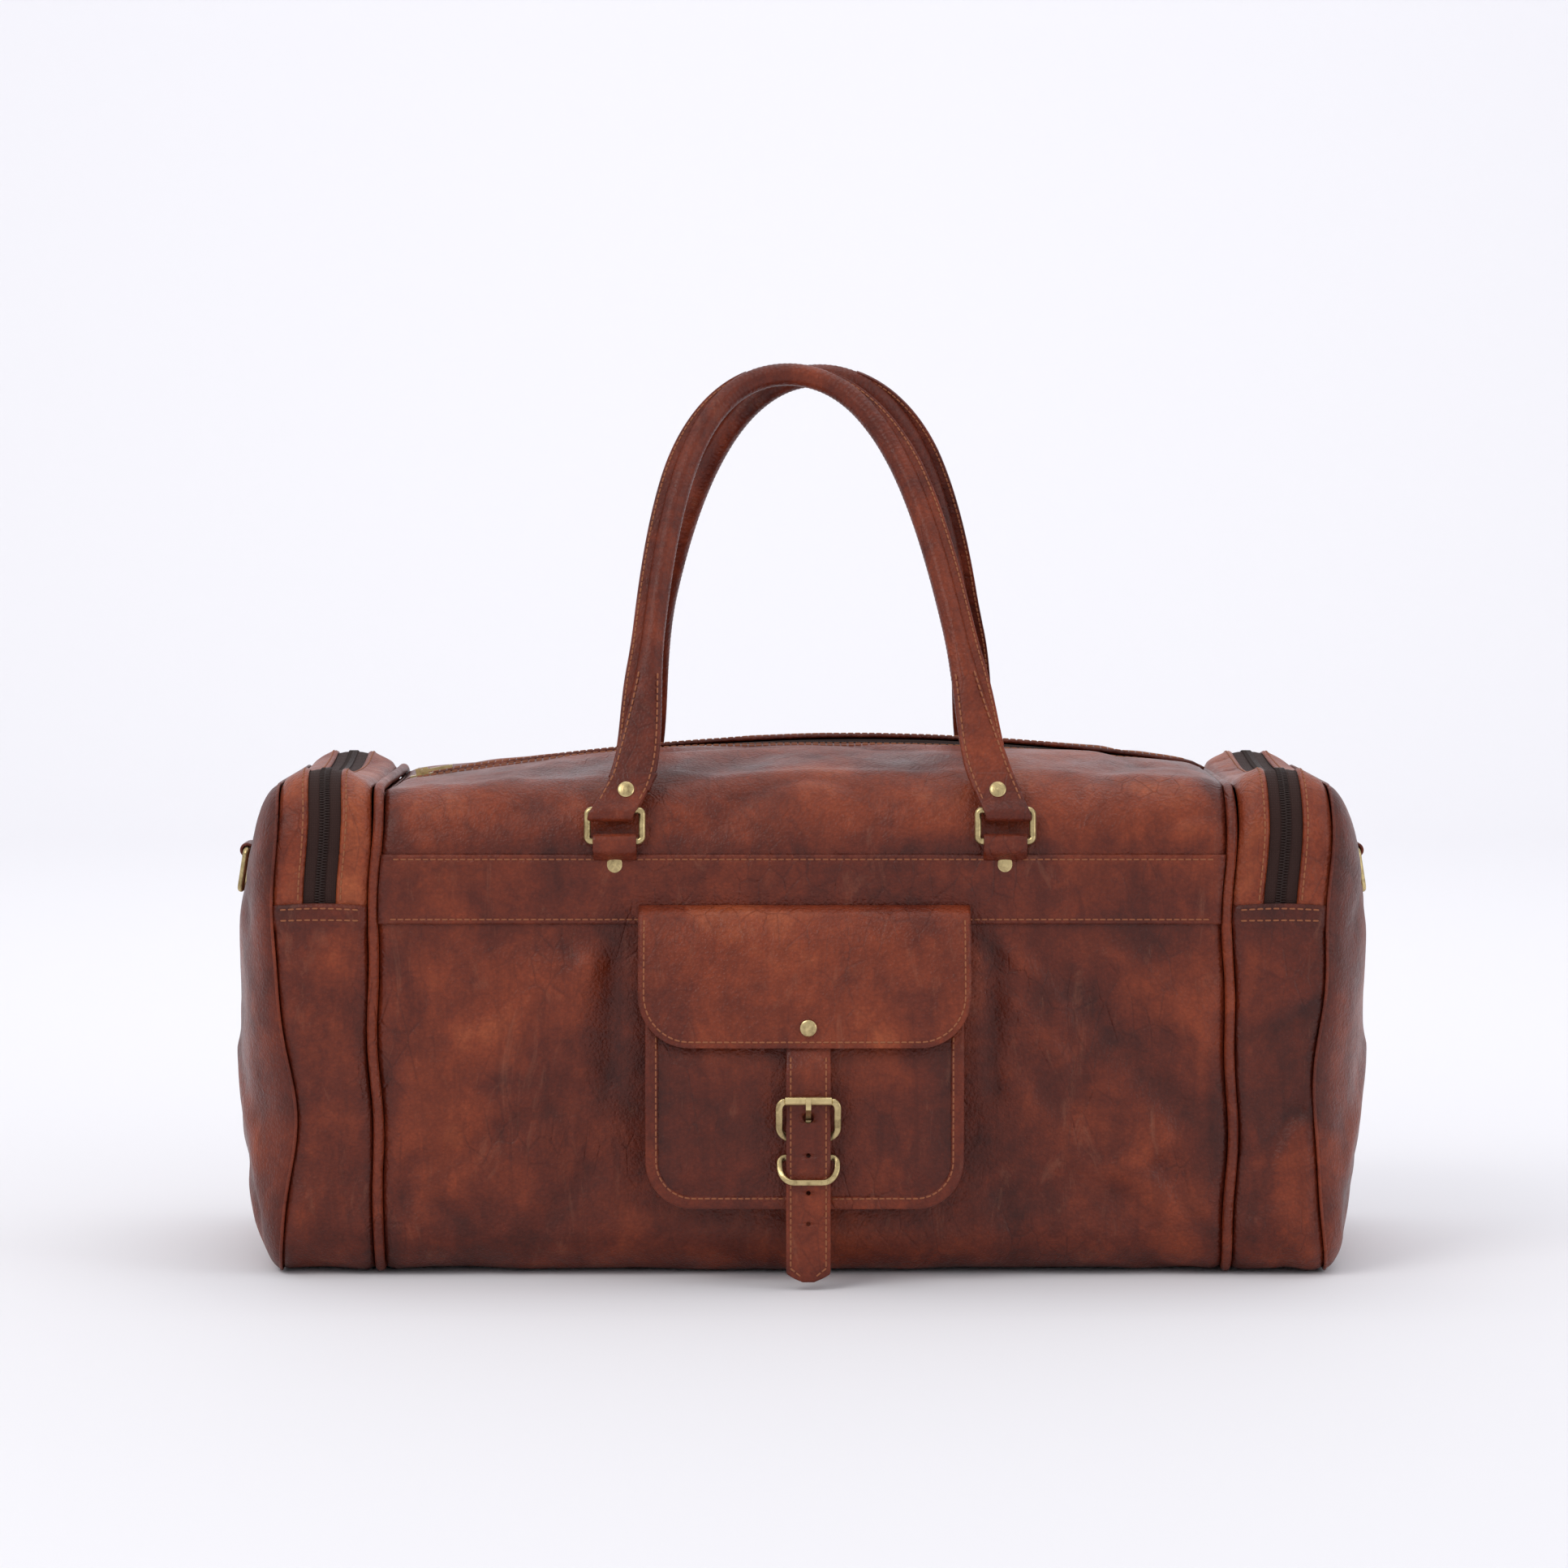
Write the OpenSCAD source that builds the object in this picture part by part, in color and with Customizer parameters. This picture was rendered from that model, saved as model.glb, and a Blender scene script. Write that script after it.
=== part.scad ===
// Leather duffel bag with zipped end pockets, a buckled front pocket and two
// rolled handles. Millimetres, +Z up, -Y is the front, origin at the middle of
// the base where it rests on the ground.

/* [Bag] */
// Half the length of the main compartment, to the middle of the piping
main_half = 233; // [210:1:250]
// Half the depth of the bag, front to back
half_depth = 118; // [110:1:126]
// Height of the end walls of the main compartment
wall_h = 268; // [260:1:272]
// Highest point of the main zip
crown_h = 288; // [284:1:292]
// Distance from the middle of the bag to the highest point of the main zip
crown_x = 25; // [0:1:30]
// Radius of the arc that the main zip follows
crown_r = 1400; // [1200:50:1800]
// Distance from the middle of the bag to the seam of the end panels
seam_x = 288; // [284:1:292]
// How far the end panels swell out beyond their seams
end_swell = 28; // [20:1:32]
// Thickness of a leather wall with its backing
wall = 3; // [2.4:0.2:3.2]

/* [Zips] */
// Width of the end pocket zip between its leather edges
end_zip_w = 18; // [16:1:20]
// Height at which the end pocket zips stop at the front
end_zip_z = 202; // [196:1:206]
// Height at which the end pocket zips stop at the back
end_zip_back_z = 150; // [140:1:160]
// Half width of the gap that the main zip fills
main_zip_half = 6; // [5:0.5:7]

/* [Front trim] */
// Lower edge of the reinforcing band
band_z0 = 194; // [190:1:196]
// Upper edge of the reinforcing band
band_z1 = 232; // [230:1:234]
// Thickness of the reinforcing band
band_t = 1.6; // [1.4:0.2:1.8]

/* [Handles] */
// Distance of the middle of the handles from the middle of the bag
handle_x = 4; // [0:1:5]
// Distance of each ring from the middle of its handle
ring_x = 106; // [104:1:108]
// Radius of the ring wire
wire_r = 1.9; // [1.7:0.1:2]
// Distance between the two bars of a ring, centre to centre
ring_h = 17; // [16:0.5:18]
// Height of the handles above the ground
handle_top = 501; // [480:1:510]
// Diameter of the rolled grip
grip_d = 12.6; // [12:0.2:13]
// Width of the flat handle ends and of all straps
strap_w = 24; // [23:0.5:24.5]
// Lean of the handles towards the middle of the bag, in degrees
lean = 25; // [24:0.5:26]
// Lean of the rings below the handles, in degrees
ring_lean = 8; // [6:0.5:9]

/* [Front pocket] */
// Distance of the pocket's centre line from the middle of the bag
pocket_x = 1; // [0:0.5:2]
// Half width of the front pocket
pocket_half = 86; // [84:1:87]
// Underside of the front pocket
pocket_z0 = 42; // [40:1:44]
// Upper edge of the front pocket
pocket_z1 = 196; // [194:1:197]
// How far the pocket stands out at its base
pocket_d0 = 28; // [26:1:29]
// How far the pocket stands out at its mouth
pocket_d1 = 13; // [12:1:14]
// Half width of the flap
flap_half = 90; // [88:1:91]
// Lower edge of the flap
flap_z0 = 130; // [128:1:132]
// Distance of the strap from the middle of the bag
strap_x = 3; // [2:0.5:4]
// Radius of the rivet caps
rivet_r = 4.5; // [4:0.25:5]

/* [Hidden] */
leather = "#7a3b26";
dark_leather = "#5b2c20";
brass = "#b39a5c";
zip_brown = "#33231f";

gap = 0.1;                       // between soft pieces of one body that touch
run_gap = 0.35;                  // between pieces that move past each other
base_corner = 28;                // radius of the lower edges of the bag
top_corner = 34;                 // radius of the upper edges of the end walls
shoulder_y = half_depth - 36;    // where the top turns down to the front
piping_r = 2.9;                  // the piped seam beside each end pocket
piping_in = 1.4;                 // how far its centre lies inside the outline
panel_end = main_half - piping_r - 0.2;
gusset_x0 = main_half + piping_r + 0.2;
zip_mid_x = (gusset_x0 + seam_x) / 2;
bore_r = wire_r + run_gap;       // a leather loop runs freely on its bar
loop_r = bore_r + 2.1;           // outside of a leather loop
ring_in = strap_w + 2;           // inside width of the rings
ring_y = -half_depth - loop_r - 0.9;   // axis of the ring bars held by the tabs
ring_z = band_z1 + 7.5;
bar_y = ring_y + ring_h * sin(ring_lean);   // axis of the bars that carry the handles
bar_z = ring_z + ring_h * cos(ring_lean);
handle_len = (handle_top - grip_d / 2 - bar_z) / cos(lean);

// ---- Shape functions -------------------------------------------------------

// Height of the main zip above the ground at x
function crown(x) = crown_h - crown_r + sqrt(crown_r * crown_r - pow(x - crown_x, 2));

// Height of the front and back shoulders of the main compartment at x
function shoulder(x) = wall_h + 0.45 * (crown(x) - wall_h);

// Points of an arc in the plane
function arc(cx, cy, r, a0, a1, n) =
  [for (i = [0:n]) let (a = a0 + (a1 - a0) * i / n) [cx + r * cos(a), cy + r * sin(a)]];

// Upper half of the end outline, front to back, drawn in by d, as [y, z] points
function upper_outline(d) = let (h = half_depth - d, c = half_depth - top_corner, r = top_corner - d)
  concat(
    [for (i = [0:2]) [-h, end_zip_z + (wall_h - top_corner - end_zip_z) * i / 3]],
    arc(-c, wall_h - top_corner, r, 180, 90, 7),
    [for (i = [1:7]) [-c + 2 * c * i / 8, wall_h - d]],
    arc(c, wall_h - top_corner, r, 90, 0, 7),
    [for (i = [1:3]) [h, end_zip_back_z + (wall_h - top_corner - end_zip_back_z) * (3 - i) / 3]]
  );

// Lower half of the end outline, back to front, drawn in by d
function lower_outline(d) = let (c = half_depth - base_corner, r = base_corner - d)
  concat(
    [[half_depth - d, end_zip_back_z]],
    arc(c, base_corner, r, 0, -90, 7),
    arc(-c, base_corner, r, -90, -180, 7),
    [[-half_depth + d, end_zip_z]]
  );

function full_outline(d) = let (u = upper_outline(d), l = lower_outline(d))
  concat(u, [for (i = [1:len(l) - 2]) l[i]]);

// Raises the lowest points of an outline to a height
function off_floor(points, low) = [for (p = points) [p[0], max(p[1], low)]];

// ---- Solid builders --------------------------------------------------------

// A sheet with thickness: two grids of points, face to face
module sheet(outer, inner) {
  n = len(outer);
  m = len(outer[0]);
  k = n * m;
  rim = concat(
    [for (j = [0:m - 2]) [j, j + 1]],
    [for (i = [0:n - 2]) [i * m + m - 1, (i + 1) * m + m - 1]],
    [for (j = [m - 1:-1:1]) [(n - 1) * m + j, (n - 1) * m + j - 1]],
    [for (i = [n - 1:-1:1]) [i * m, (i - 1) * m]]
  );
  polyhedron(
    points = concat([for (row = outer) for (p = row) p], [for (row = inner) for (p = row) p]),
    faces = concat(
      [for (i = [0:n - 2]) for (j = [0:m - 2]) each let (a = i * m + j)
        [[a, a + 1, a + m + 1], [a, a + m + 1, a + m]]],
      [for (i = [0:n - 2]) for (j = [0:m - 2]) each let (a = k + i * m + j)
        [[a, a + m + 1, a + 1], [a, a + m, a + m + 1]]],
      [for (e = rim) each [[e[1], e[0], e[0] + k], [e[1], e[0] + k, e[1] + k]]]
    )
  );
}

// A solid skinned over closed loops of points, capped at both ends
module skin(loops) {
  n = len(loops);
  m = len(loops[0]);
  polyhedron(
    points = concat([for (l = loops) for (p = l) p], [mean(loops[0]), mean(loops[n - 1])]),
    faces = concat(
      [for (i = [0:n - 2]) for (j = [0:m - 1]) each let (a = i * m + j, b = i * m + (j + 1) % m)
        [[a, b, b + m], [a, b + m, a + m]]],
      [for (j = [0:m - 1]) [n * m, (j + 1) % m, j]],
      [for (j = [0:m - 1]) let (a = (n - 1) * m) [n * m + 1, a + j, a + (j + 1) % m]]
    )
  );
}

// A closed tube of radius r round a closed path of [y, z] points at x
module loop_tube(path, x, r, sides) {
  n = len(path);
  points = [for (i = [0:n - 1])
    let (before = path[(i + n - 1) % n], after = path[(i + 1) % n],
         d = after - before, l = norm(d), out = [d[1] / l, -d[0] / l])
    for (s = [0:sides - 1]) let (a = 360 * s / sides)
      [x + r * sin(a), path[i][0] + r * cos(a) * out[0], path[i][1] + r * cos(a) * out[1]]];
  polyhedron(points, faces = [for (i = [0:n - 1]) for (s = [0:sides - 1])
    each let (a = i * sides + s, b = i * sides + (s + 1) % sides,
              c = ((i + 1) % n) * sides + s, d = ((i + 1) % n) * sides + (s + 1) % sides)
      [[a, c, d], [a, d, b]]]);
}

function mean(l) = [for (k = [0:2]) sum_of([for (p = l) p[k]]) / len(l)];
function sum_of(v, i = 0) = i < len(v) ? v[i] + sum_of(v, i + 1) : 0;

// Extrudes a [y, z] outline along X from x0 to x1
module along_x(points, x0, x1) {
  translate([x0, 0, 0]) rotate([90, 0, 90]) linear_extrude(x1 - x0) polygon(points);
}

// Extrudes an [x, z] outline along Y from y0 to y1
module along_y(points, y0, y1) {
  translate([0, y1, 0]) rotate([90, 0, 0]) linear_extrude(y1 - y0) polygon(points);
}

module block(x0, x1, y0, y1, z0, z1) {
  translate([x0, y0, z0]) cube([x1 - x0, y1 - y0, z1 - z0]);
}

// Mirrors to the left end of the bag when side is -1
module at_end(side) {
  if (side > 0) children();
  else mirror([1, 0, 0]) children();
}

// Mirrors to the back of the bag when side is 1
module at_face(side) {
  if (side < 0) children();
  else mirror([0, 1, 0]) children();
}

// ---- Main compartment ------------------------------------------------------

module face_panel() {
  color(leather) along_x(
    concat(
      [[-half_depth, band_z1]],
      arc(-half_depth + base_corner, base_corner, base_corner, 180, 270, 8),
      arc(-half_depth + base_corner, base_corner, base_corner - wall, 270, 180, 8),
      [[-half_depth + wall, band_z1]]
    ), -panel_end, panel_end);
}

module base_panel() {
  color(dark_leather) block(-panel_end, panel_end,
    -half_depth + base_corner + gap, half_depth - base_corner - gap, 0, wall);
}

// Outer or inner surface of the top between the front and the main zip
function top_row(x, d) = concat(
  [for (a = [0:15:90]) [x, -shoulder_y - (half_depth - shoulder_y - d) * cos(a),
    band_z1 + (shoulder(x) - band_z1 - d) * sin(a)]],
  [for (i = [1:5]) let (s = i / 5) [x, -shoulder_y + (shoulder_y - main_zip_half) * s,
    shoulder(x) - d + (crown(x) - shoulder(x)) * sin(90 * s)]]
);

module top_panel() {
  columns = [for (i = [0:12]) -panel_end + 2 * panel_end * i / 12];
  color(leather) sheet(
    [for (x = columns) top_row(x, 0)],
    [for (x = columns) top_row(x, wall)]);
}

module band() {
  slot = strap_w / 2 + gap;
  color(dark_leather) difference() {
    block(-panel_end, panel_end, -half_depth - band_t, -half_depth, band_z0, band_z1);
    for (s = [-1, 1]) block(handle_x + s * ring_x - slot, handle_x + s * ring_x + slot,
      -half_depth - 1.1 - gap, -half_depth + 1, band_z1 - 20, band_z1 + 1);
  }
}

module partition() {
  inset = piping_in + piping_r + 0.3;
  color(leather) along_x(off_floor(full_outline(inset), 2 * piping_r + 0.4),
    main_half - 1.2, main_half + 1.2);
}

module piping() {
  color(leather) loop_tube(off_floor(full_outline(piping_in), piping_r + 0.1), main_half, piping_r, 8);
}

module main_lining() {
  lining_t = 0.8;
  out = wall + 0.5;
  top = band_z1 - 4;
  corner = base_corner - out;
  function tub(d) = concat(
    [[half_depth - out - d, top + (d > 0 ? 1 : 0)]],
    arc(half_depth - base_corner, base_corner, corner - d, 0, -90, 6),
    arc(-half_depth + base_corner, base_corner, corner - d, -90, -180, 6),
    [[-half_depth + out + d, top + (d > 0 ? 1 : 0)]]);
  color("#4b4038") difference() {
    along_x(tub(0), -panel_end + 0.3, panel_end - 0.3);
    along_x(tub(lining_t), -panel_end + 0.3 + lining_t, panel_end - 0.3 - lining_t);
  }
}

module base_board() {
  color("#2c2926") block(-panel_end + 6, panel_end - 6, -80, 80, wall + 1.5, wall + 4);
}

// ---- Main zip --------------------------------------------------------------

// A ring sector that follows the arc of the main zip; profile is [height, y]
module crowned(profile, x0, x1) {
  a0 = asin((x0 - crown_x) / crown_r);
  a1 = asin((x1 - crown_x) / crown_r);
  translate([crown_x, 0, crown_h - crown_r]) rotate([90, 0, 0]) rotate([0, 0, 90 - a1])
    rotate_extrude(angle = a1 - a0, $fn = 720) polygon([for (p = profile) [crown_r + p[0], p[1]]]);
}

zip_x0 = -panel_end + 3;
zip_x1 = panel_end - 3;
tape_drop = 1.9;   // top of the zip tape below the arc
chain_w = 3;       // half width of the main zip's teeth

module main_zip_tapes() {
  color(zip_brown) for (s = [-1, 1])
    crowned([[-tape_drop, s * 0.2], [-tape_drop, s * (main_zip_half - gap)],
      [-tape_drop - 0.8, s * (main_zip_half - gap)], [-tape_drop - 0.8, s * 0.2]], zip_x0, zip_x1);
}

module main_zip_chain() {
  color(zip_brown) crowned([[-tape_drop, -chain_w], [-0.7, -chain_w + 0.4],
    [-0.7, chain_w - 0.4], [-tape_drop, chain_w]], zip_x0, zip_x1);
}

slider_x = -panel_end + 14;      // where the main slider rests
slider_a = asin((slider_x - crown_x) / crown_r);

// Places its children on the arc of the main zip at the slider's rest
module on_crown() {
  translate([crown_x, 0, crown_h - crown_r]) rotate([0, slider_a, 0])
    translate([0, 0, crown_r]) children();
}

// Zip slider, travelling along X, on a chain whose top is 0.7 below z = 0
module slider_body() {
  color(brass) {
    difference() {
      translate([-6.5, -4.4, -1.3]) cube([13, 8.8, 2.7]);
      translate([-7, -chain_w - run_gap, -2]) cube([14, 2 * (chain_w + run_gap), 2 - 0.7 + run_gap]);
    }
    difference() {
      translate([-3, -1.2, 1.3]) cube([7, 2.4, 3.6]);
      translate([0.5, 0, 3.1]) rotate([90, 0, 0]) cylinder(r = 1.2, h = 4, center = true, $fn = 32);
    }
  }
}

// Pull tab hung from the slider's bridge, lying along +X
module pull_tab(length) {
  color(brass) difference() {
    union() {
      translate([0.5, 0, 3.1]) rotate([90, 0, 0]) cylinder(r = 0.85, h = 6.4, center = true, $fn = 32);
      for (s = [-1, 1]) translate([-0.3, s * 2.5 - 0.7, 2.3]) cube([6, 1.4, 1.6]);
      translate([5.2, -3.2, 2.3]) cube([length - 5.2, 6.4, 1.6]);
    }
    translate([length - 7, -1.8, 1]) cube([5, 3.6, 4]);
  }
}

// Places its children on the upright part of an end zip at the back
module on_end_zip() {
  translate([zip_mid_x, half_depth + 1 - 0.3 + 0.7, end_zip_back_z + 9]) rotate([-90, -90, 0]) children();
}

// Turns a pull tab on its pin until it hangs down, just off the slider
module hanging() {
  translate([0.5, 0, 3.1]) rotate([0, -168, 0]) translate([-0.5, 0, -3.1]) children();
}

// ---- End pockets (drawn at the right end) ----------------------------------

// How far the gusset stands off the outline: fullest beside the zip on the top
function gusset_rise(x, p) = let (
    u = (x - gusset_x0) / (seam_x - gusset_x0),
    top = max(0, (p[1] - wall_h + top_corner) / top_corner),
    saddle = 0.2 + 0.8 * min(1, pow(p[0] / (half_depth - top_corner), 2)))
  (1 - pow(abs(2 * u - 1), 2.2)) * (1 + 9 * top * saddle);

// Direction square to the end outline at p
function outward(p) = let (c = half_depth - top_corner, k = wall_h - top_corner)
  p[1] <= k ? [sign(p[0]), 0] : abs(p[0]) <= c ? [0, 1]
    : let (v = [p[0] - sign(p[0]) * c, p[1] - k]) v / norm(v);

function gusset_point(x, p, d) = let (q = p + outward(p) * (gusset_rise(x, p) - d)) [x, q[0], q[1]];

function gusset_rows(x0, x1, n, d) = let (u = upper_outline(0))
  [for (p = u) [for (i = [0:n]) gusset_point(x0 + (x1 - x0) * i / n, p, d)]];

module gusset_strips() {
  color(leather) {
    sheet(gusset_rows(gusset_x0, zip_mid_x - end_zip_w / 2, 3, 0),
      gusset_rows(gusset_x0, zip_mid_x - end_zip_w / 2, 3, wall));
    sheet(gusset_rows(zip_mid_x + end_zip_w / 2, seam_x, 3, 0),
      gusset_rows(zip_mid_x + end_zip_w / 2, seam_x, 3, wall));
  }
}

module end_zip_tapes() {
  color(zip_brown) {
    sheet(gusset_rows(zip_mid_x - end_zip_w / 2 + gap, zip_mid_x - gap, 2, 1.2),
      gusset_rows(zip_mid_x - end_zip_w / 2 + gap, zip_mid_x - gap, 2, 2));
    sheet(gusset_rows(zip_mid_x + gap, zip_mid_x + end_zip_w / 2 - gap, 2, 1.2),
      gusset_rows(zip_mid_x + gap, zip_mid_x + end_zip_w / 2 - gap, 2, 2));
  }
}

module end_zip_chain() {
  color(zip_brown) sheet(gusset_rows(zip_mid_x - chain_w, zip_mid_x + chain_w, 2, 0.3),
    gusset_rows(zip_mid_x - chain_w, zip_mid_x + chain_w, 2, 1.2));
}

module lower_gusset() {
  color(dark_leather) along_x(
    concat(lower_outline(0), [for (i = [len(lower_outline(wall)) - 1:-1:0]) lower_outline(wall)[i]]),
    gusset_x0, seam_x);
}

// Swell of the end panel, s being the distance from its middle as a share
function swell(s) = end_swell * pow(1 - pow(s, 2.6), 0.6);

function end_ring(s, d) = [for (p = full_outline(0))
  [seam_x + gap + swell(s) - d, p[0] * s, wall_h / 2 + (p[1] - wall_h / 2) * s]];

end_sizes = [0.12, 0.4, 0.62, 0.78, 0.88, 0.95, 1];

module end_panel() {
  n = len(end_sizes) - 1;
  color(leather) skin(concat(
    [for (i = [0:n]) end_ring(end_sizes[i], 0)],
    [for (i = [n:-1:0]) end_ring(min(end_sizes[i], 0.985), wall)]));
}

// Point of the end panel's middle line, d outside its surface
function end_line(s, d) = [seam_x + gap + swell(s) + d, wall_h / 2 * (1 + s)];

d_ring_z = 226;                  // bar of the end ring
d_ring_x = seam_x + end_swell - 1.5;

module ring_tab() {
  t = 2.2;
  shares = [0.26, 0.4, 0.62, 0.68];
  color(dark_leather) difference() {
    union() {
      along_y(concat([for (s = shares) end_line(s, gap)], [for (i = [3:-1:0]) end_line(shares[i], gap + t)]),
        -strap_w / 2, strap_w / 2);
      translate([d_ring_x, 0, d_ring_z]) rotate([90, 0, 0])
        cylinder(r = loop_r, h = strap_w, center = true, $fn = 48);
    }
    translate([d_ring_x, 0, d_ring_z]) rotate([90, 0, 0])
      cylinder(r = bore_r, h = strap_w + 2, center = true, $fn = 48);
  }
}

// A D-ring hanging from its straight bar, in the XY plane with the bar on X
module d_shape(width, depth, r, corner) {
  bar = width / 2 + r;
  rotate([0, 90, 0]) cylinder(r = r, h = 2 * bar - 2 * corner, center = true, $fn = 32);
  for (s = [-1, 1]) {
    translate([s * (bar - corner), -corner, 0]) rotate([0, 0, s > 0 ? 0 : 90])
      rotate_extrude(angle = 90, $fn = 48) translate([corner, 0]) circle(r = r, $fn = 32);
    translate([s * bar, -corner, 0]) rotate([90, 0, 0]) cylinder(r = r, h = depth - 2 * corner, $fn = 32);
    translate([s * (bar - corner), -depth + corner, 0]) rotate([0, 0, s > 0 ? 270 : 180])
      rotate_extrude(angle = 90, $fn = 48) translate([corner, 0]) circle(r = r, $fn = 32);
  }
  translate([0, -depth, 0]) rotate([0, 90, 0])
    cylinder(r = r, h = 2 * bar - 2 * corner, center = true, $fn = 32);
}

module end_d_ring() {
  color(brass) translate([d_ring_x, 0, d_ring_z]) rotate([0, -9, 0]) rotate([90, 0, 90])
    d_shape(ring_in, 22, wire_r, 2.6);
}

// ---- Handles (drawn at the front) ------------------------------------------

// Puts its children at both rings of a handle
module at_both() {
  for (s = [-1, 1]) translate([handle_x + s * ring_x, 0, 0]) children();
}

module handle_rings() {
  color(brass) at_both() translate([0, ring_y, ring_z]) rotate([90 - ring_lean, 0, 0])
    mirror([0, 1, 0]) d_shape(ring_in, ring_h, wire_r, 2.6);
}

module ring_tabs() {
  tab = [-strap_w / 2, strap_w / 2];
  color(dark_leather) at_both() difference() {
    union() {
      translate([tab[0], ring_y, ring_z]) rotate([0, 90, 0]) cylinder(r = loop_r, h = strap_w, $fn = 48);
      along_x([[-half_depth - 1.1, band_z1 - 19.8], [-half_depth - gap, band_z1 - 19.8],
        [-half_depth - gap, ring_z], [ring_y, ring_z], [-half_depth - 1.1, band_z1 + 1]], tab[0], tab[1]);
    }
    translate([tab[0] - 1, ring_y, ring_z]) rotate([0, 90, 0])
      cylinder(r = bore_r, h = strap_w + 2, $fn = 48);
  }
}

// Domed rivet cap that points along -Y
module rivet() {
  color(brass) rotate([90, 0, 0]) rotate_extrude($fn = 48)
    polygon(concat([[0, 0], [rivet_r, 0]], [for (a = [10:20:90]) [rivet_r * cos(a), 0.4 + 1.1 * sin(a)]]));
}

module tab_rivets() {
  for (face = [-1, 1]) at_face(face) at_both()
    translate([0, -half_depth - band_t - 0.02, band_z1 - 5.5]) rivet();
}

// Places its children at the bars that carry the handle, in its leaning plane
module at_bars() {
  translate([0, bar_y, bar_z]) rotate([90 - lean, 0, 0]) children();
}

fold_h = 15;                     // doubled strap above the ring, before the roll
stations = 18;                   // sections from one ring to the top of the handle
core_from = 8;                   // first section that holds the core
core_d = 7.8;

function bezier(p, t) = pow(1 - t, 3) * p[0] + 3 * t * pow(1 - t, 2) * p[1]
  + 3 * t * t * (1 - t) * p[2] + pow(t, 3) * p[3];

// One leg of a handle: shape is [x of the top, arch, draw-in, height of draw-in]
function leg(side, shape) = [
  [handle_x + side * ring_x, fold_h],
  [handle_x + side * (ring_x - shape[2]), shape[3]],
  [shape[0] + side * shape[1], handle_len],
  [shape[0], handle_len]];

function handle_line(shape) = concat(
  [for (i = [0:stations]) bezier(leg(-1, shape), i / stations)],
  [for (i = [stations - 1:-1:0]) bezier(leg(1, shape), i / stations)]);

// Change from flat strap (0) to round grip (1) at a station
function roundness(i) = let (t = min(i, 2 * stations - i) / stations, u = min(1, max(0, (t - 0.06) / 0.3)))
  u * u * (3 - 2 * u);

// Closed section round p, square to d, with width w and thickness h
function section(p, d, w, h, sides) = let (n = [d[1], -d[0]] / norm(d), e = w > h + 4 ? 0.55 : 1)
  [for (k = [0:sides - 1]) let (a = 360 * (k + 0.5) / sides,
      c = sign(cos(a)) * pow(abs(cos(a)), e) * w / 2,
      s = sign(sin(a)) * pow(abs(sin(a)), e) * h / 2)
    [p[0] + c * n[0], p[1] + c * n[1], s]];

function tangent(line, i) = line[min(len(line) - 1, i + 1)] - line[max(0, i - 1)];

module handle(shape) {
  line = handle_line(shape);
  last = len(line) - 1;
  color(leather) at_bars() difference() {
    union() {
      skin([for (i = [0:last]) let (r = roundness(i))
        section(line[i], tangent(line, i), strap_w + (grip_d - strap_w) * r, 5 + (grip_d - 5) * r, 16)]);
      at_both() translate([-strap_w / 2, 0, 0]) {
        rotate([0, 90, 0]) cylinder(r = loop_r, h = strap_w, $fn = 48);
        translate([0, 0, -2.6]) cube([strap_w, fold_h + 3, 5.2]);
      }
    }
    at_both() rotate([0, 90, 0]) cylinder(r = bore_r, h = strap_w + 2, center = true, $fn = 48);
    handle_bore(line, core_d + 0.2, 12);
  }
}

// The round filling of a handle, or the hollow that holds it
module handle_bore(line, d, sides) {
  skin([for (i = [core_from:len(line) - 1 - core_from]) section(line[i], tangent(line, i), d, d, sides)]);
}

module handle_core(shape) {
  color("#c9b58c") at_bars() handle_bore(handle_line(shape), core_d, 12);
}

module handle_rivets() {
  at_bars() for (x = [handle_x - ring_x + 6, handle_x + ring_x - 4])
    translate([x, 11, 2.62]) rotate([-90, 0, 0]) rivet();
}

// ---- Front pocket ----------------------------------------------------------

// Rounded U of the pocket: half width, base height, corner radius
function u_shape(half, z0, z1, r) = concat(
  [[pocket_x - half, z1]],
  arc(pocket_x - half + r, z0 + r, r, 180, 270, 7),
  arc(pocket_x + half - r, z0 + r, r, 270, 360, 7),
  [[pocket_x + half, z1]]);

knee_z = 120;                    // the pocket's face is upright below this height

// Depth of the pocket's front face at height z
function pocket_y(z) = -half_depth - pocket_d0
  + (pocket_d0 - pocket_d1) * max(0, (z - knee_z) / (pocket_z1 - knee_z));

// Side view of a slab that follows the pocket's front face, from a to b in front of it
function pocket_slab(a, b) = [
  [pocket_y(0) - a, pocket_z0], [pocket_y(0) - a, knee_z], [pocket_y(pocket_z1) - a, pocket_z1],
  [pocket_y(pocket_z1) - b, pocket_z1], [pocket_y(0) - b, knee_z], [pocket_y(0) - b, pocket_z0]];

pocket_r = 26;
binding_w = 7;

module pocket_front() {
  color(dark_leather) intersection() {
    along_x(pocket_slab(-2, 0), pocket_x - pocket_half, pocket_x + pocket_half);
    along_y(u_shape(pocket_half - binding_w - gap, pocket_z0 + binding_w + gap, pocket_z1,
      pocket_r - binding_w), -half_depth - 60, -half_depth);
  }
}

module pocket_binding() {
  color(dark_leather) intersection() {
    along_x(pocket_slab(-2.6, 0.8), pocket_x - pocket_half, pocket_x + pocket_half);
    difference() {
      along_y(u_shape(pocket_half, pocket_z0, pocket_z1, pocket_r), -half_depth - 60, -half_depth);
      along_y(u_shape(pocket_half - binding_w, pocket_z0 + binding_w, pocket_z1 + 1,
        pocket_r - binding_w), -half_depth - 61, -half_depth + 1);
    }
  }
}

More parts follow.
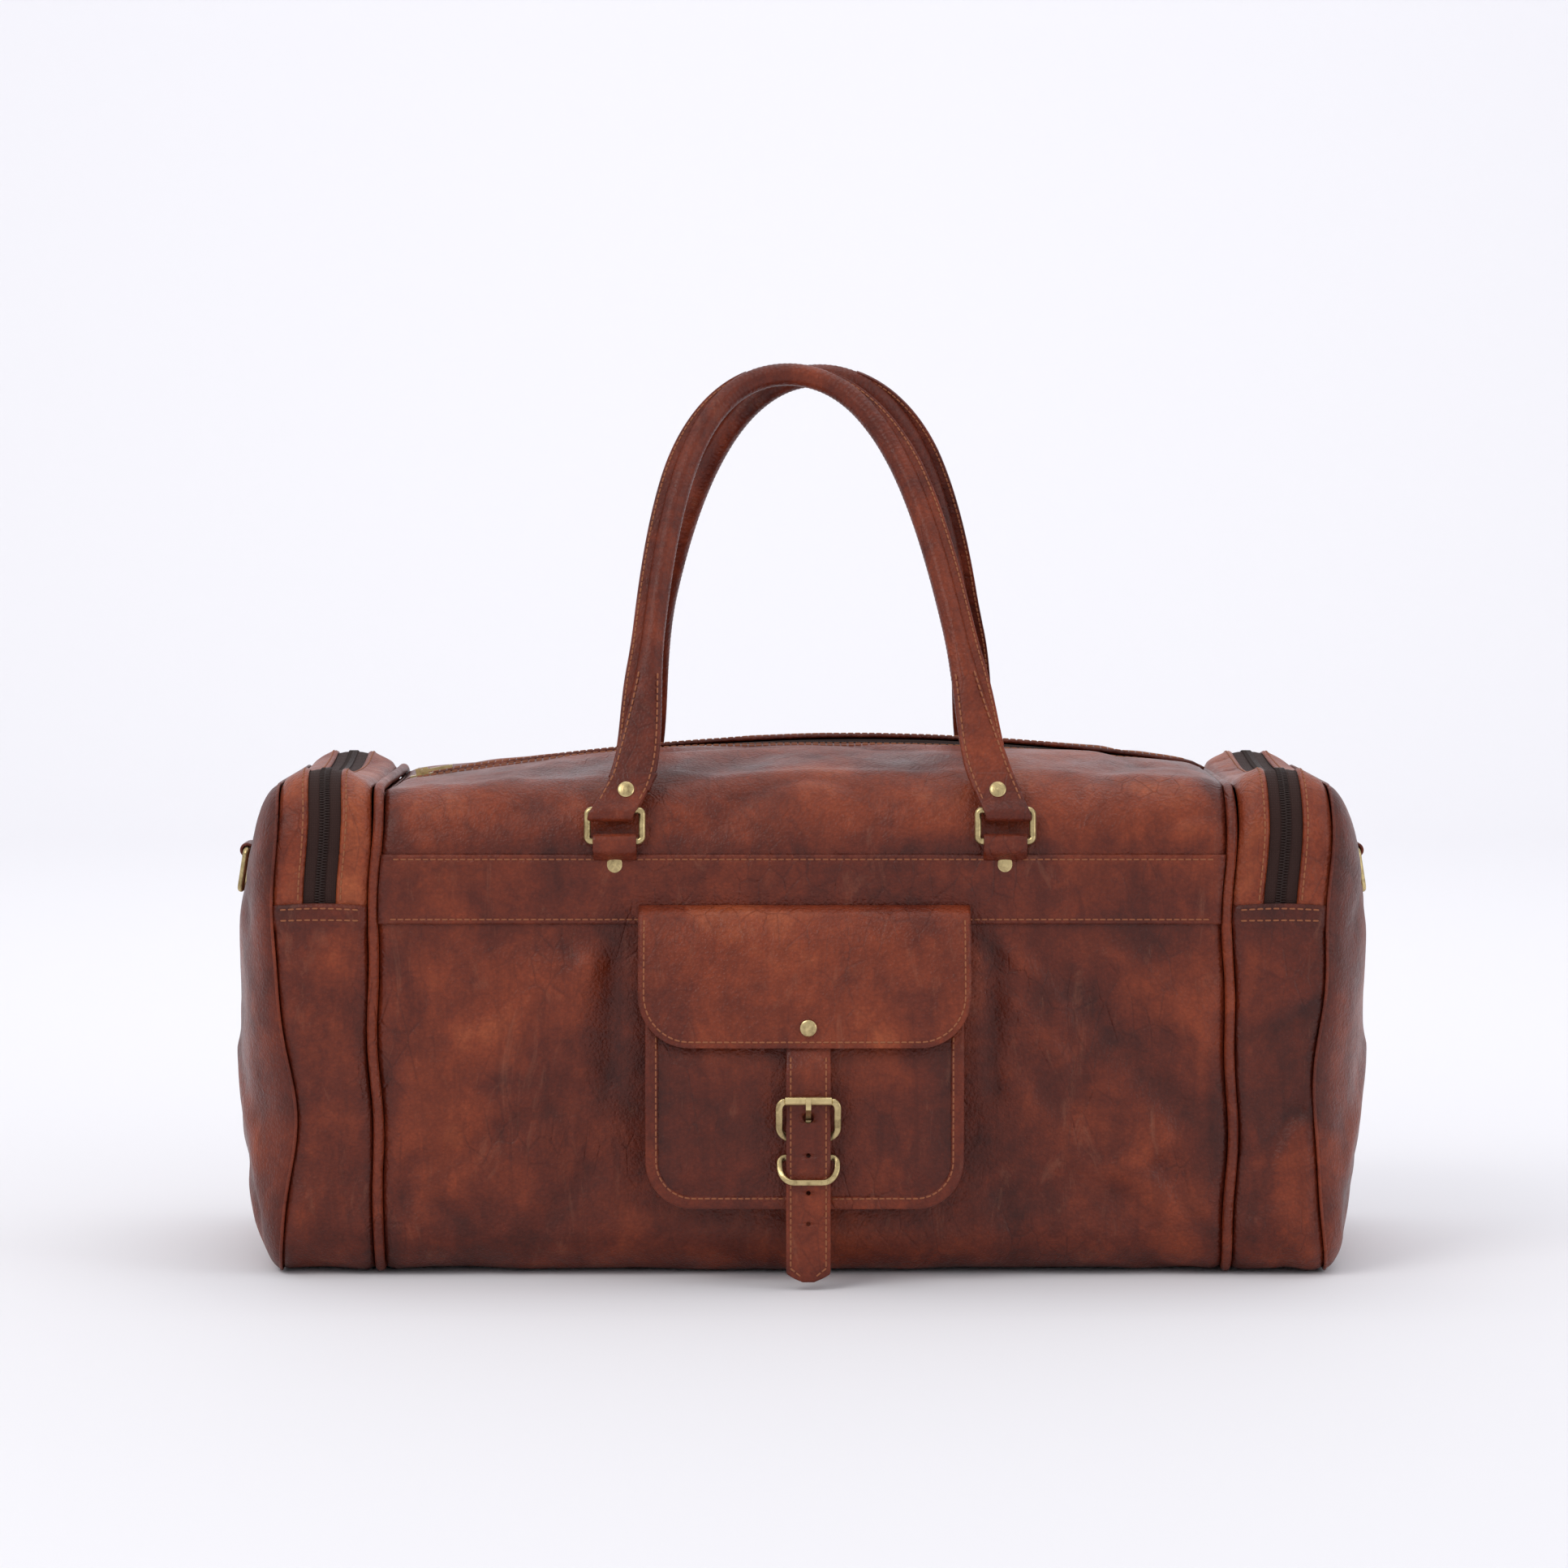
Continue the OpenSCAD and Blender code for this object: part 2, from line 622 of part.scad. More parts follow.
module pocket_gusset() {
  t = 2;
  y0 = -half_depth - gap;
  low_y = pocket_y(0) + 2.6 + gap;
  top_y = pocket_y(pocket_z1) + 2.6 + gap;
  color(leather) intersection() {
    along_x([[y0, pocket_z0], [low_y, pocket_z0], [low_y, knee_z], [top_y, pocket_z1 - 4],
      [y0 - band_t, pocket_z1 - 4], [y0 - band_t, band_z0 - gap], [y0, band_z0 - gap]],
      pocket_x - pocket_half, pocket_x + pocket_half);
    difference() {
      along_y(u_shape(pocket_half - 3, pocket_z0 + 3, pocket_z1, pocket_r - 3),
        -half_depth - 60, -half_depth);
      along_y(u_shape(pocket_half - 3 - t, pocket_z0 + 3 + t, pocket_z1 + 1, pocket_r - 3 - t),
        -half_depth - 61, -half_depth + 1);
    }
  }
}

flap_t = 2.4;
hinge_y = -half_depth - band_t - 1.6;
hinge_z = pocket_z1 + 8;
flap_y = pocket_y(0) - 6.2;      // front of the flap's lower part
flap_knee = knee_z + 12;         // the flap is upright below this height

// Side view of the flap: from its fold on the band down over the pocket
module pocket_flap() {
  top_y = pocket_y(pocket_z1) - 4;
  color(leather) intersection() {
    along_x([[hinge_y + 1.2, hinge_z - 3], [hinge_y + 1.2, hinge_z], [hinge_y, hinge_z + 1.2],
      [top_y, hinge_z - 4], [flap_y, flap_knee], [flap_y, flap_z0], [flap_y + flap_t, flap_z0],
      [flap_y + flap_t, flap_knee], [top_y + flap_t, hinge_z - 6]],
      pocket_x - flap_half, pocket_x + flap_half);
    along_y(u_shape(flap_half, flap_z0, hinge_z + 2, 28), -half_depth - 60, -half_depth);
  }
}

roller_z = 102.5;
heel_z = 82;
keeper_z = 71;                   // bar of the keeper behind the strap
strap_t = 2.4;
bar_r = 1.5;                     // bars of the buckle
eye_r = bar_r + run_gap + 1.2;   // leather loops of the chape
snap_t = 0.9;
chape_back = pocket_y(0) - 2 * snap_t - run_gap - 0.4;
heel_y = chape_back - eye_r;
strap_back = chape_back - 2 * eye_r - gap;
strap_front = strap_back - strap_t;
roller_r = 2.3;
roller_y = strap_front - 0.3 - roller_r;
strap_tip = 3;
hole_z = [93, 72.7, 52.4, 35.7];
tongue_hole = 3;                 // radius of the hole that the tongue goes through

// Side view of a bent band of thickness 2 t along a path of [y, z] points
function ribbon(path, t) = let (n = len(path) - 1,
    nor = [for (i = [0:n]) let (d = path[min(n, i + 1)] - path[max(0, i - 1)]) [d[1], -d[0]] / norm(d)])
  concat([for (i = [0:n]) path[i] + t * nor[i]], [for (i = [n:-1:0]) path[i] - t * nor[i]]);

module flap_strap() {
  under = flap_y + flap_t + 2 * gap + strap_t / 2;
  rise = 23;
  slope = (pocket_y(pocket_z1) - 4 - flap_y) / (hinge_z - 6 - flap_knee);
  y = strap_front + strap_t / 2;
  w = strap_w / 2;
  color(dark_leather) difference() {
    intersection() {
      along_x(ribbon([[under + slope * rise, flap_knee + rise], [under, flap_knee - 1], [y, 116],
        [y, strap_tip]], strap_t / 2),
        strap_x - w, strap_x + w);
      along_y([[strap_x - w, 160], [strap_x - w, strap_tip + 6], [strap_x - w + 3, strap_tip + 3.4],
        [strap_x, strap_tip], [strap_x + w - 3, strap_tip + 3.4], [strap_x + w, strap_tip + 6],
        [strap_x + w, 160]], -half_depth - 60, -half_depth);
    }
    for (z = hole_z) translate([strap_x, strap_front, z]) rotate([90, 0, 0])
      cylinder(r = z == hole_z[0] ? tongue_hole : 1.2, h = 20, center = true, $fn = 24);
  }
}

module flap_rivet() {
  translate([strap_x, flap_y - 0.02, 141]) rivet();
}

arm_in = strap_w / 2 + 0.9;      // inner faces of the buckle's arms
arm_out = arm_in + 3.8;

// A round bar along X at [y, z]
module bar(p, r, length) {
  translate([strap_x, p[0], p[1]]) rotate([0, 90, 0]) cylinder(r = r, h = length, center = true, $fn = 48);
}

module buckle_frame() {
  color(brass) {
    bar([roller_y, roller_z], 1.2, 2 * arm_in + 1);
    bar([heel_y, heel_z], bar_r, 2 * arm_in + 1);
    for (s = [-1, 1]) along_x(ribbon([[roller_y, roller_z + 2], [roller_y, roller_z - 4],
      [heel_y - 1, heel_z + 4], [heel_y, heel_z - 2]], 2),
      strap_x + (s > 0 ? arm_in : -arm_out), strap_x + (s > 0 ? arm_out : -arm_in));
  }
}

module buckle_roller() {
  color(brass) difference() {
    bar([roller_y, roller_z], roller_r, 2 * arm_in - 0.8);
    bar([roller_y, roller_z], 1.2 + run_gap, 2 * arm_in + 2);
  }
}

tongue_w = 1.4;

module buckle_tongue() {
  front = roller_y - roller_r - 0.35 - 0.9;
  color(brass) difference() {
    union() {
      bar([heel_y, heel_z], bar_r + 1.1, 2 * tongue_w);
      along_x(ribbon([[heel_y - 1.4, heel_z + 1.8], [strap_back + 1.1, 91.6], [strap_front - 0.4, 93.9],
        [front, roller_z - 4], [front, roller_z + 2.4]], 0.8), strap_x - tongue_w, strap_x + tongue_w);
    }
    bar([heel_y, heel_z], bar_r + 0.02, 4 * tongue_w);
  }
}

keeper_tilt = 36;                // of the keeper, from upright

module keeper_ring() {
  color(brass) translate([strap_x, heel_y, keeper_z]) rotate([90 - keeper_tilt, 0, 0])
    d_shape(strap_w + 4, 13.6, bar_r, 4);
}

module buckle_chape() {
  w = 10;
  clear = tongue_w + 0.5;
  color(dark_leather) difference() {
    union() {
      bar([heel_y, heel_z], eye_r, 2 * w);
      bar([heel_y, keeper_z], eye_r, 2 * w);
      along_x([[chape_back - 2.2, 47], [chape_back, 47], [chape_back, heel_z], [chape_back - 2.2, heel_z]],
        strap_x - w, strap_x + w);
    }
    bar([heel_y, heel_z], bar_r + 0.02, 3 * w);
    bar([heel_y, keeper_z], bar_r + run_gap, 3 * w);
    block(strap_x - clear, strap_x + clear, chape_back - 2 * eye_r - 1, heel_y + 2.8,
      heel_z - 3.6, heel_z + 4);
  }
}

snap_z = 58;

module snap_stud() {
  color(brass) translate([strap_x, chape_back + gap, snap_z]) rotate([-90, 0, 0])
    cylinder(r = 6, h = snap_t, $fn = 48);
}

module snap_socket() {
  color(brass) translate([strap_x, pocket_y(0) - 0.02, snap_z]) rotate([90, 0, 0])
    cylinder(r = 6.5, h = snap_t, $fn = 48);
}

// ---- Nodes -----------------------------------------------------------------

front_shape = [-8, 84, 26, 62];
rear_shape = [10, 74, 16, 100];

face_panel();  // front_panel
at_face(1) face_panel();  // rear_panel
base_panel();
top_panel();  // top_front_panel
at_face(1) top_panel();  // top_rear_panel
band();  // front_band
at_face(1) band();  // rear_band
at_end(-1) partition();  // left_partition
at_end(1) partition();  // right_partition
at_end(-1) piping();  // left_piping
at_end(1) piping();  // right_piping
main_lining();
base_board();
main_zip_tapes();
main_zip_chain();
on_crown() slider_body();  // main_slider
on_crown() pull_tab(18);  // main_pull
at_end(-1) gusset_strips();  // left_gusset_strips
at_end(1) gusset_strips();  // right_gusset_strips
at_end(-1) lower_gusset();  // left_lower_gusset
at_end(1) lower_gusset();  // right_lower_gusset
at_end(-1) end_panel();  // left_end_panel
at_end(1) end_panel();  // right_end_panel
at_end(-1) end_zip_tapes();  // left_zip_tapes
at_end(1) end_zip_tapes();  // right_zip_tapes
at_end(-1) end_zip_chain();  // left_zip_chain
at_end(1) end_zip_chain();  // right_zip_chain
at_end(-1) on_end_zip() slider_body();  // left_slider
at_end(1) on_end_zip() slider_body();  // right_slider
at_end(-1) on_end_zip() hanging() pull_tab(16);  // left_pull
at_end(1) on_end_zip() hanging() pull_tab(16);  // right_pull
at_end(-1) ring_tab();  // left_ring_tab
at_end(1) ring_tab();  // right_ring_tab
at_end(-1) end_d_ring();  // left_d_ring
at_end(1) end_d_ring();  // right_d_ring
handle(front_shape);  // front_handle
at_face(1) handle(rear_shape);  // rear_handle
handle_core(front_shape);  // front_handle_core
at_face(1) handle_core(rear_shape);  // rear_handle_core
handle_rings();  // front_rings
at_face(1) handle_rings();  // rear_rings
ring_tabs();  // front_ring_tabs
at_face(1) ring_tabs();  // rear_ring_tabs
handle_rivets();  // front_handle_rivets
at_face(1) handle_rivets();  // rear_handle_rivets
tab_rivets();
pocket_front();
pocket_gusset();
pocket_binding();
pocket_flap();
flap_strap();
flap_rivet();
buckle_chape();
buckle_frame();
buckle_roller();
buckle_tongue();
keeper_ring();
snap_stud();
snap_socket();
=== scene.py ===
"""Leather duffel bag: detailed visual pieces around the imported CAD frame. Lengths are in mm until MM."""
import math
import bmesh
import bpy
import numpy as np
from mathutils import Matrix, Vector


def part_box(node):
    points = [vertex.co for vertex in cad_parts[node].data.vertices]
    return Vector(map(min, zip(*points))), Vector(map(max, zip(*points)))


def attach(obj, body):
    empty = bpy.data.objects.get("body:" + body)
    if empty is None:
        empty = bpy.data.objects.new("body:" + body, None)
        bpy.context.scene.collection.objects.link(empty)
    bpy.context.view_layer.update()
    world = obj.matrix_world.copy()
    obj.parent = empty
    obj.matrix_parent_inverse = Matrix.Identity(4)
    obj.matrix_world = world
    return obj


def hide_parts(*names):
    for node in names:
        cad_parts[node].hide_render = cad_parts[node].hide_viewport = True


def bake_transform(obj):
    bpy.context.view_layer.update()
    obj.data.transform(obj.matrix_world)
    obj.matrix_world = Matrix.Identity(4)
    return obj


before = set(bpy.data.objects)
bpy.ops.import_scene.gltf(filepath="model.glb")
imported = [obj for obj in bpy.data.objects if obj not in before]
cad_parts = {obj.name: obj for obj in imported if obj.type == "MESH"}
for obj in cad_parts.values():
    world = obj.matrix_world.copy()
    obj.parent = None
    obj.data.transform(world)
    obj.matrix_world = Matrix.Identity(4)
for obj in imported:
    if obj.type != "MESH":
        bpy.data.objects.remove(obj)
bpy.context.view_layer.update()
MM = 0.001


def box(node):
    low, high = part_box(node)
    return np.array(low) / MM, np.array(high) / MM


# ---- Sizes, from the CAD nodes -------------------------------------------------

HALF_D = -box("front_panel")[0][1]                 # half depth of the bag
BODY_X = box("front_panel")[1][0]                  # end of the main panels
WALL_H = 268.0                                     # height of the end walls
BAND_Z0, BAND_Z1 = box("front_band")[0][2], box("front_band")[1][2]
BASE_R, TOP_R = 28.0, 34.0                         # corners of the end walls
GUSSET_X, SEAM_X = box("right_lower_gusset")[0][0], box("right_lower_gusset")[1][0]
HEM_Z, BACK_Z = 202.0, 150.0                       # where the end zips stop, front and back
ZIP_X = (GUSSET_X + SEAM_X) / 2
ZIP_HALF = 9.0                                     # half width of an end zip's gap
SWELL = 28.0                                       # how far the end panels swell out
CROWN_X, CROWN_H, CROWN_R = 25.0, 288.0, 1400.0    # the top's long arc
SHOULDER_Y = HALF_D - 36
MOUTH = 6.0                                        # half width of the main zip's gap
PIPE_X, PIPE_R = 233.0, 2.9
MID_Z = 134.0                                      # half the height of the end walls
HANDLE_X, RING_X = 4.0, 106.0                      # middle of the handles, and their rings' distance from it
POCKET_X, POCKET_HALF, POCKET_Z0, POCKET_Z1, POCKET_R = 1.0, 86.0, 42.0, 196.0, 26.0
FLAP_HALF, FLAP_Z0, FLAP_R = 90.0, 130.0, 28.0
KNEE_Z = 120.0                                     # above this height the pocket's front slopes back

# ---- Camera, light and floor -----------------------------------------------------

scene = bpy.context.scene
scene.view_settings.view_transform = "Standard"
cam = bpy.data.objects.new("camera", bpy.data.cameras.new("camera"))
cam.data.lens = 105.87
cam.data.sensor_width = 36
cam.location = (-0.01012, -2.618, 0.430)
cam.rotation_euler = (math.radians(90 - 3.653), 0, 0)
cam.data.clip_end = 50
scene.collection.objects.link(cam)
scene.camera = cam


def area_light(name, at, to, size, power, colour=(1, 1, 1)):
    data = bpy.data.lights.new(name, "AREA")
    data.shape = "RECTANGLE"
    data.size, data.size_y = size
    data.energy = power
    data.color = colour
    light = bpy.data.objects.new(name, data)
    light.location = at
    away = np.array(at) - np.array(to)
    yaw = math.atan2(away[0], -away[1])
    tilt = math.atan2(math.hypot(away[0], away[1]), away[2])
    light.rotation_euler = (tilt, 0, yaw)
    scene.collection.objects.link(light)


area_light("key", (-1.5, -1.7, 2.3), (0, 0, 0.15), (1.3, 1.3), 22, (1, 0.985, 0.96))
area_light("top", (0.3, 0.3, 2.4), (0, 0, 0.2), (2.0, 1.0), 9)
area_light("right", (2.3, -1.3, 1.0), (0, 0, 0.15), (0.8, 1.4), 9, (0.97, 0.98, 1))
area_light("wall", (0, 1.2, 3.2), (0, 4.2, 1.6), (4.0, 1.0), 42)

world = bpy.data.worlds.new("studio")
scene.world = world
world.use_nodes = True
world.node_tree.nodes["Background"].inputs["Color"].default_value = (0.955, 0.955, 0.985, 1)
world.node_tree.nodes["Background"].inputs["Strength"].default_value = 0.80


def new_material(name, colour, rough):
    mat = bpy.data.materials.new(name)
    mat.use_nodes = True
    shader = mat.node_tree.nodes["Principled BSDF"]
    shader.inputs["Base Color"].default_value = (*colour, 1)
    shader.inputs["Roughness"].default_value = rough
    return mat, mat.node_tree, shader


floor_mat, _, _ = new_material("floor_paper", (0.86, 0.855, 0.885), 0.75)
profile = [(-6, 0)] + [(3 + 1.2 * math.sin(math.radians(a)), 1.2 - 1.2 * math.cos(math.radians(a)))
                       for a in range(0, 91, 6)] + [(4.2, 5)]
floor = bpy.data.meshes.new("backdrop")
floor.from_pydata([(x, y, z - 0.0006) for y, z in profile for x in (-7, 7)], [],
                  [(2 * i, 2 * i + 1, 2 * i + 3, 2 * i + 2) for i in range(len(profile) - 1)])
floor.polygons.foreach_set("use_smooth", [True] * len(floor.polygons))
floor.materials.append(floor_mat)
floor_obj = bpy.data.objects.new("backdrop", floor)
scene.collection.objects.link(floor_obj)

# ---- Materials --------------------------------------------------------------------


class Nodes:
    """Short calls that add shader nodes to a material."""

    def __init__(self, tree):
        self.tree = tree
        self.coords = self.add("ShaderNodeTexCoord").outputs["Object"]

    def add(self, kind, **values):
        node = self.tree.nodes.new(kind)
        for key, value in values.items():
            setattr(node, key, value)
        return node

    def link(self, source, target):
        if isinstance(source, (int, float, tuple)):
            target.default_value = source
        else:
            self.tree.links.new(source, target)

    def stretched(self, scale, turn=(0, 0, 0)):
        node = self.add("ShaderNodeMapping")
        self.link(self.coords, node.inputs["Vector"])
        node.inputs["Scale"].default_value = scale
        node.inputs["Rotation"].default_value = turn
        return node.outputs["Vector"]

    def noise(self, scale, detail=3.0, rough=0.5, distort=0.0, vector=None):
        node = self.add("ShaderNodeTexNoise")
        self.link(self.coords if vector is None else vector, node.inputs["Vector"])
        values = {"Scale": scale, "Detail": detail, "Roughness": rough, "Distortion": distort}
        for key, value in values.items():
            node.inputs[key].default_value = value
        return node.outputs["Fac"]

    def cells(self, scale, feature="F1", vector=None):
        node = self.add("ShaderNodeTexVoronoi", feature=feature)
        self.link(self.coords if vector is None else vector, node.inputs["Vector"])
        node.inputs["Scale"].default_value = scale
        return node.outputs["Distance"]

    def math(self, operation, a, b=0.0, clamp=False):
        node = self.add("ShaderNodeMath", operation=operation, use_clamp=clamp)
        self.link(a, node.inputs[0])
        self.link(b, node.inputs[1])
        return node.outputs[0]

    def fit(self, value, low, high, to_low=0.0, to_high=1.0):
        node = self.add("ShaderNodeMapRange")
        for socket, entry in zip(("Value", "From Min", "From Max", "To Min", "To Max"),
                                 (value, low, high, to_low, to_high)):
            self.link(entry, node.inputs[socket])
        return node.outputs["Result"]

    def ramp(self, value, stops):
        node = self.add("ShaderNodeValToRGB")
        self.link(value, node.inputs["Fac"])
        elements = node.color_ramp.elements
        while len(elements) < len(stops):
            elements.new(0.5)
        for element, (place, colour) in zip(elements, stops):
            element.position = place
            element.color = (*colour, 1)
        return node.outputs["Color"]

    def mix(self, factor, a, b, blend="MIX"):
        node = self.add("ShaderNodeMix", data_type="RGBA", blend_type=blend)
        self.link(factor, node.inputs["Factor"])
        for entry, socket in ((a, node.inputs["A"]), (b, node.inputs["B"])):
            if isinstance(entry, tuple):
                socket.default_value = (*entry, 1)
            else:
                self.tree.links.new(entry, socket)
        return node.outputs["Result"]

    def bump(self, height, strength, distance, under=None):
        node = self.add("ShaderNodeBump")
        self.link(height, node.inputs["Height"])
        node.inputs["Strength"].default_value = strength
        node.inputs["Distance"].default_value = distance
        if under is not None:
            self.tree.links.new(under, node.inputs["Normal"])
        return node.outputs["Normal"]


# the leather's colours, from its smudges and painted shade to its worn places and painted highlights
BROWN = [(0.18, (0.050, 0.0084, 0.0046)), (0.40, (0.112, 0.0168, 0.0064)), (0.60, (0.205, 0.0345, 0.0105)),
         (0.88, (0.350, 0.0820, 0.0270))]


def leather(name, shift=0.0, rough=(0.29, 0.50), grain=1.0):
    """Oiled leather: cloudy colour, dark smudges, pale streaks of painted highlight, pebble grain, and fine
    creases with painted shade in them and in the grain's cracks.
    """
    mat, tree, shader = new_material(name, BROWN[1][1], 0.45)
    n = Nodes(tree)
    tone = n.add("ShaderNodeAttribute", attribute_name="tone").outputs["Fac"]
    value = shift - 0.45
    broad = n.stretched((3.4, 3.4, 1.2), (0.1, 0.5, 0.2))
    for share, scale, detail, vector in ((0.56, 8.0, 4.0, None), (0.55, 24.0, 5.0, None),
                                         (0.30, 75.0, 4.0, None), (0.45, 3.0, 4.0, broad)):
        value = n.math("ADD", value, n.math("MULTIPLY", n.noise(scale, detail, 0.62, 0.7, vector), share))
    # the tone attribute carries painted highlight and shade: lighter on bulges and ridges, darker in folds,
    # dents and along seams
    value = n.math("ADD", value, n.math("MULTIPLY", tone, 0.6))
    colour = n.ramp(value, BROWN)
    pebble = n.cells(620.0, "SMOOTH_F1")
    pores = n.cells(1150.0)
    lines = n.cells(88.0, "DISTANCE_TO_EDGE", n.stretched((1.0, 1.0, 0.5), (0.3, 0.5, 0.4)))
    crease_mask = n.fit(n.noise(19.0, 3.0), 0.47, 0.62)
    crease = n.math("MULTIPLY", n.math("SUBTRACT", 1.0, n.fit(lines, 0.0, 0.055)), crease_mask, clamp=True)
    streak = n.noise(70.0, 6.0, 0.7, 0.8, n.stretched((1.0, 1.0, 0.16), (0.3, 0.7, 0.1)))
    speck = n.noise(420.0, 3.0, 0.65)
    lighter = n.mix(1.0, colour, (1.5, 1.45, 1.4), "MULTIPLY")
    darker = n.mix(1.0, colour, (0.5, 0.42, 0.42), "MULTIPLY")
    colour = n.mix(n.fit(speck, 0.50, 0.72, 0.0, 0.38), colour, lighter)
    colour = n.mix(n.fit(streak, 0.52, 0.40, 0.0, 0.34), colour, darker)
    # painted shade: darker in the cracks between the pebbles and along the creases
    colour = n.mix(n.fit(pebble, 0.30, 0.62, 0.0, 0.30), colour, darker)
    colour = n.mix(n.math("MULTIPLY", crease, 0.45), colour, darker)
    # painted highlight: pale glinting streaks, mixed towards a lighter brown
    glint_noise = n.noise(52.0, 6.0, 0.75, 1.2, n.stretched((1.0, 1.0, 0.3), (0.2, 0.9, 0.1)))
    glint_streaks = n.fit(glint_noise, 0.58, 0.74, 0.0, 0.55)
    colour = n.mix(glint_streaks, colour, n.mix(0.55, colour, (0.30, 0.115, 0.065)))
    tree.links.new(colour, shader.inputs["Base Color"])
    rough_value = n.math("ADD", n.fit(n.noise(17.0, 4.0, 0.6), 0.3, 0.7, rough[0], rough[1]),
                         n.fit(speck, 0.3, 0.7, -0.05, 0.06))
    tree.links.new(rough_value, shader.inputs["Roughness"])
    normal = n.bump(n.noise(46.0, 5.0, 0.62), 0.62, 0.0026)
    normal = n.bump(n.math("SUBTRACT", 1.0, crease), 0.5 * grain, 0.0006, normal)
    normal = n.bump(n.math("ADD", pebble, n.math("MULTIPLY", pores, 0.4)), 0.75 * grain, 0.00055, normal)
    tree.links.new(normal, shader.inputs["Normal"])
    shader.inputs["Specular IOR Level"].default_value = 0.27
    shader.inputs["Coat Weight"].default_value = 0.05
    shader.inputs["Coat Roughness"].default_value = 0.3
    return mat


hide = leather("oiled_leather")
strap_hide = leather("strap_leather", -0.05, (0.32, 0.48), 0.7)
edge_hide = leather("cut_edge_leather", -0.22, (0.55, 0.7), 0.4)


def metal(name, colour, dark, rough):
    """Antique brass: brown tarnish in patches, worn pale on the edges, fine scratches."""
    mat, tree, shader = new_material(name, colour, rough)
    n = Nodes(tree)
    stain = n.noise(160.0, 5.0, 0.65, 0.6)
    fine = n.noise(900.0, 3.0, 0.6, 0.0, n.stretched((1, 1, 0.2)))
    mixed = n.mix(n.fit(stain, 0.42, 0.68), colour, dark)
    edge = n.add("ShaderNodeNewGeometry").outputs["Pointiness"]
    mixed = n.mix(n.fit(edge, 0.5, 0.62, 0.0, 0.5), mixed, tuple(min(1.0, c * 1.35) for c in colour))
    tree.links.new(mixed, shader.inputs["Base Color"])
    shader.inputs["Metallic"].default_value = 1.0
    tree.links.new(n.fit(stain, 0.3, 0.75, rough, rough + 0.25), shader.inputs["Roughness"])
    tree.links.new(n.bump(n.math("ADD", fine, stain), 0.12, 0.0002), shader.inputs["Normal"])
    return mat


brass = metal("antique_brass", (0.56, 0.44, 0.22), (0.22, 0.155, 0.075), 0.24)


def cloth(name, colour, scale):
    """Woven tape or lining: crossed yarns with a little fuzz."""
    mat, tree, shader = new_material(name, colour, 0.85)
    n = Nodes(tree)
    warp = n.add("ShaderNodeTexWave", bands_direction="X")
    weft = n.add("ShaderNodeTexWave", bands_direction="Z")
    for wave in (warp, weft):
        n.link(n.coords, wave.inputs["Vector"])
        wave.inputs["Scale"].default_value = scale
        wave.inputs["Distortion"].default_value = 1.5
    yarn = n.math("MULTIPLY", warp.outputs["Fac"], weft.outputs["Fac"])
    fuzz = n.noise(500.0, 4.0, 0.7)
    bright = tuple(c * 1.7 for c in colour)
    tree.links.new(n.mix(n.math("MULTIPLY", yarn, fuzz), colour, bright), shader.inputs["Base Color"])
    tree.links.new(n.bump(n.math("ADD", yarn, fuzz), 0.5, 0.0003), shader.inputs["Normal"])
    shader.inputs["Sheen Weight"].default_value = 0.06
    shader.inputs["Specular IOR Level"].default_value = 0.15
    return mat


tape_cloth = cloth("zip_tape", (0.030, 0.0140, 0.0115), 260.0)
lining_cloth = cloth("lining_cotton", (0.10, 0.075, 0.055), 180.0)
filling = cloth("cord_filling", (0.5, 0.4, 0.26), 120.0)


def yarn_like(name, colour, rough, scale, strength, gloss=0.4):
    """A material with a fine fibre pattern in its colour, roughness and relief."""
    mat, tree, shader = new_material(name, colour, rough)
    shader.inputs["Specular IOR Level"].default_value = gloss
    n = Nodes(tree)
    fibre = n.noise(scale, 4.0, 0.65, 0.3)
    pale, deep = tuple(min(1.0, c * 1.3) for c in colour), tuple(c * 0.62 for c in colour)
    tree.links.new(n.mix(fibre, deep, pale), shader.inputs["Base Color"])
    tree.links.new(n.fit(fibre, 0.3, 0.7, rough - 0.1, rough + 0.1), shader.inputs["Roughness"])
    tree.links.new(n.bump(fibre, strength, 0.0002), shader.inputs["Normal"])
    return mat


thread = yarn_like("waxed_thread", (0.28, 0.090, 0.034), 0.6, 1500.0, 0.4)
nylon = yarn_like("nylon_coil", (0.022, 0.0100, 0.0078), 0.42, 800.0, 0.15, 0.25)
board_mat = yarn_like("stiffener_board", (0.03, 0.027, 0.024), 0.75, 250.0, 0.4)

# ---- Noise and curves ---------------------------------------------------------------


def lattice(i, j, k, seed):
    """A fixed value between -1 and 1 for each corner of a grid."""
    h = (i * 73856093) ^ (j * 19349663) ^ (k * 83492791) ^ (seed * 265443576)
    h = ((h ^ (h >> 13)) * 1274126177) & 0x7FFFFFFF
    return ((h ^ (h >> 16)) & 0xFFFFF) / 0x80000 - 1.0


def value_noise(p, seed):
    """Smooth noise with features about 1 apart."""
    cell = np.floor(p).astype(np.int64)
    f = p - cell
    f = f * f * (3 - 2 * f)
    total = 0.0
    for corner in range(8):
        o = (corner & 1, corner >> 1 & 1, corner >> 2)
        weight = 1.0
        for axis in range(3):
            weight = weight * (f[..., axis] if o[axis] else 1 - f[..., axis])
        total = total + weight * lattice(cell[..., 0] + o[0], cell[..., 1] + o[1], cell[..., 2] + o[2], seed)
    return total


def fbm(p, size, seed=0, octaves=3):
    """Cloudy noise with features about a size apart, in ever finer layers."""
    total, amount = 0.0, 1.0
    for octave in range(octaves):
        total = total + amount * value_noise(p * (2 ** octave) / size + 31.7 * octave, seed + octave)
        amount *= 0.5
    return total


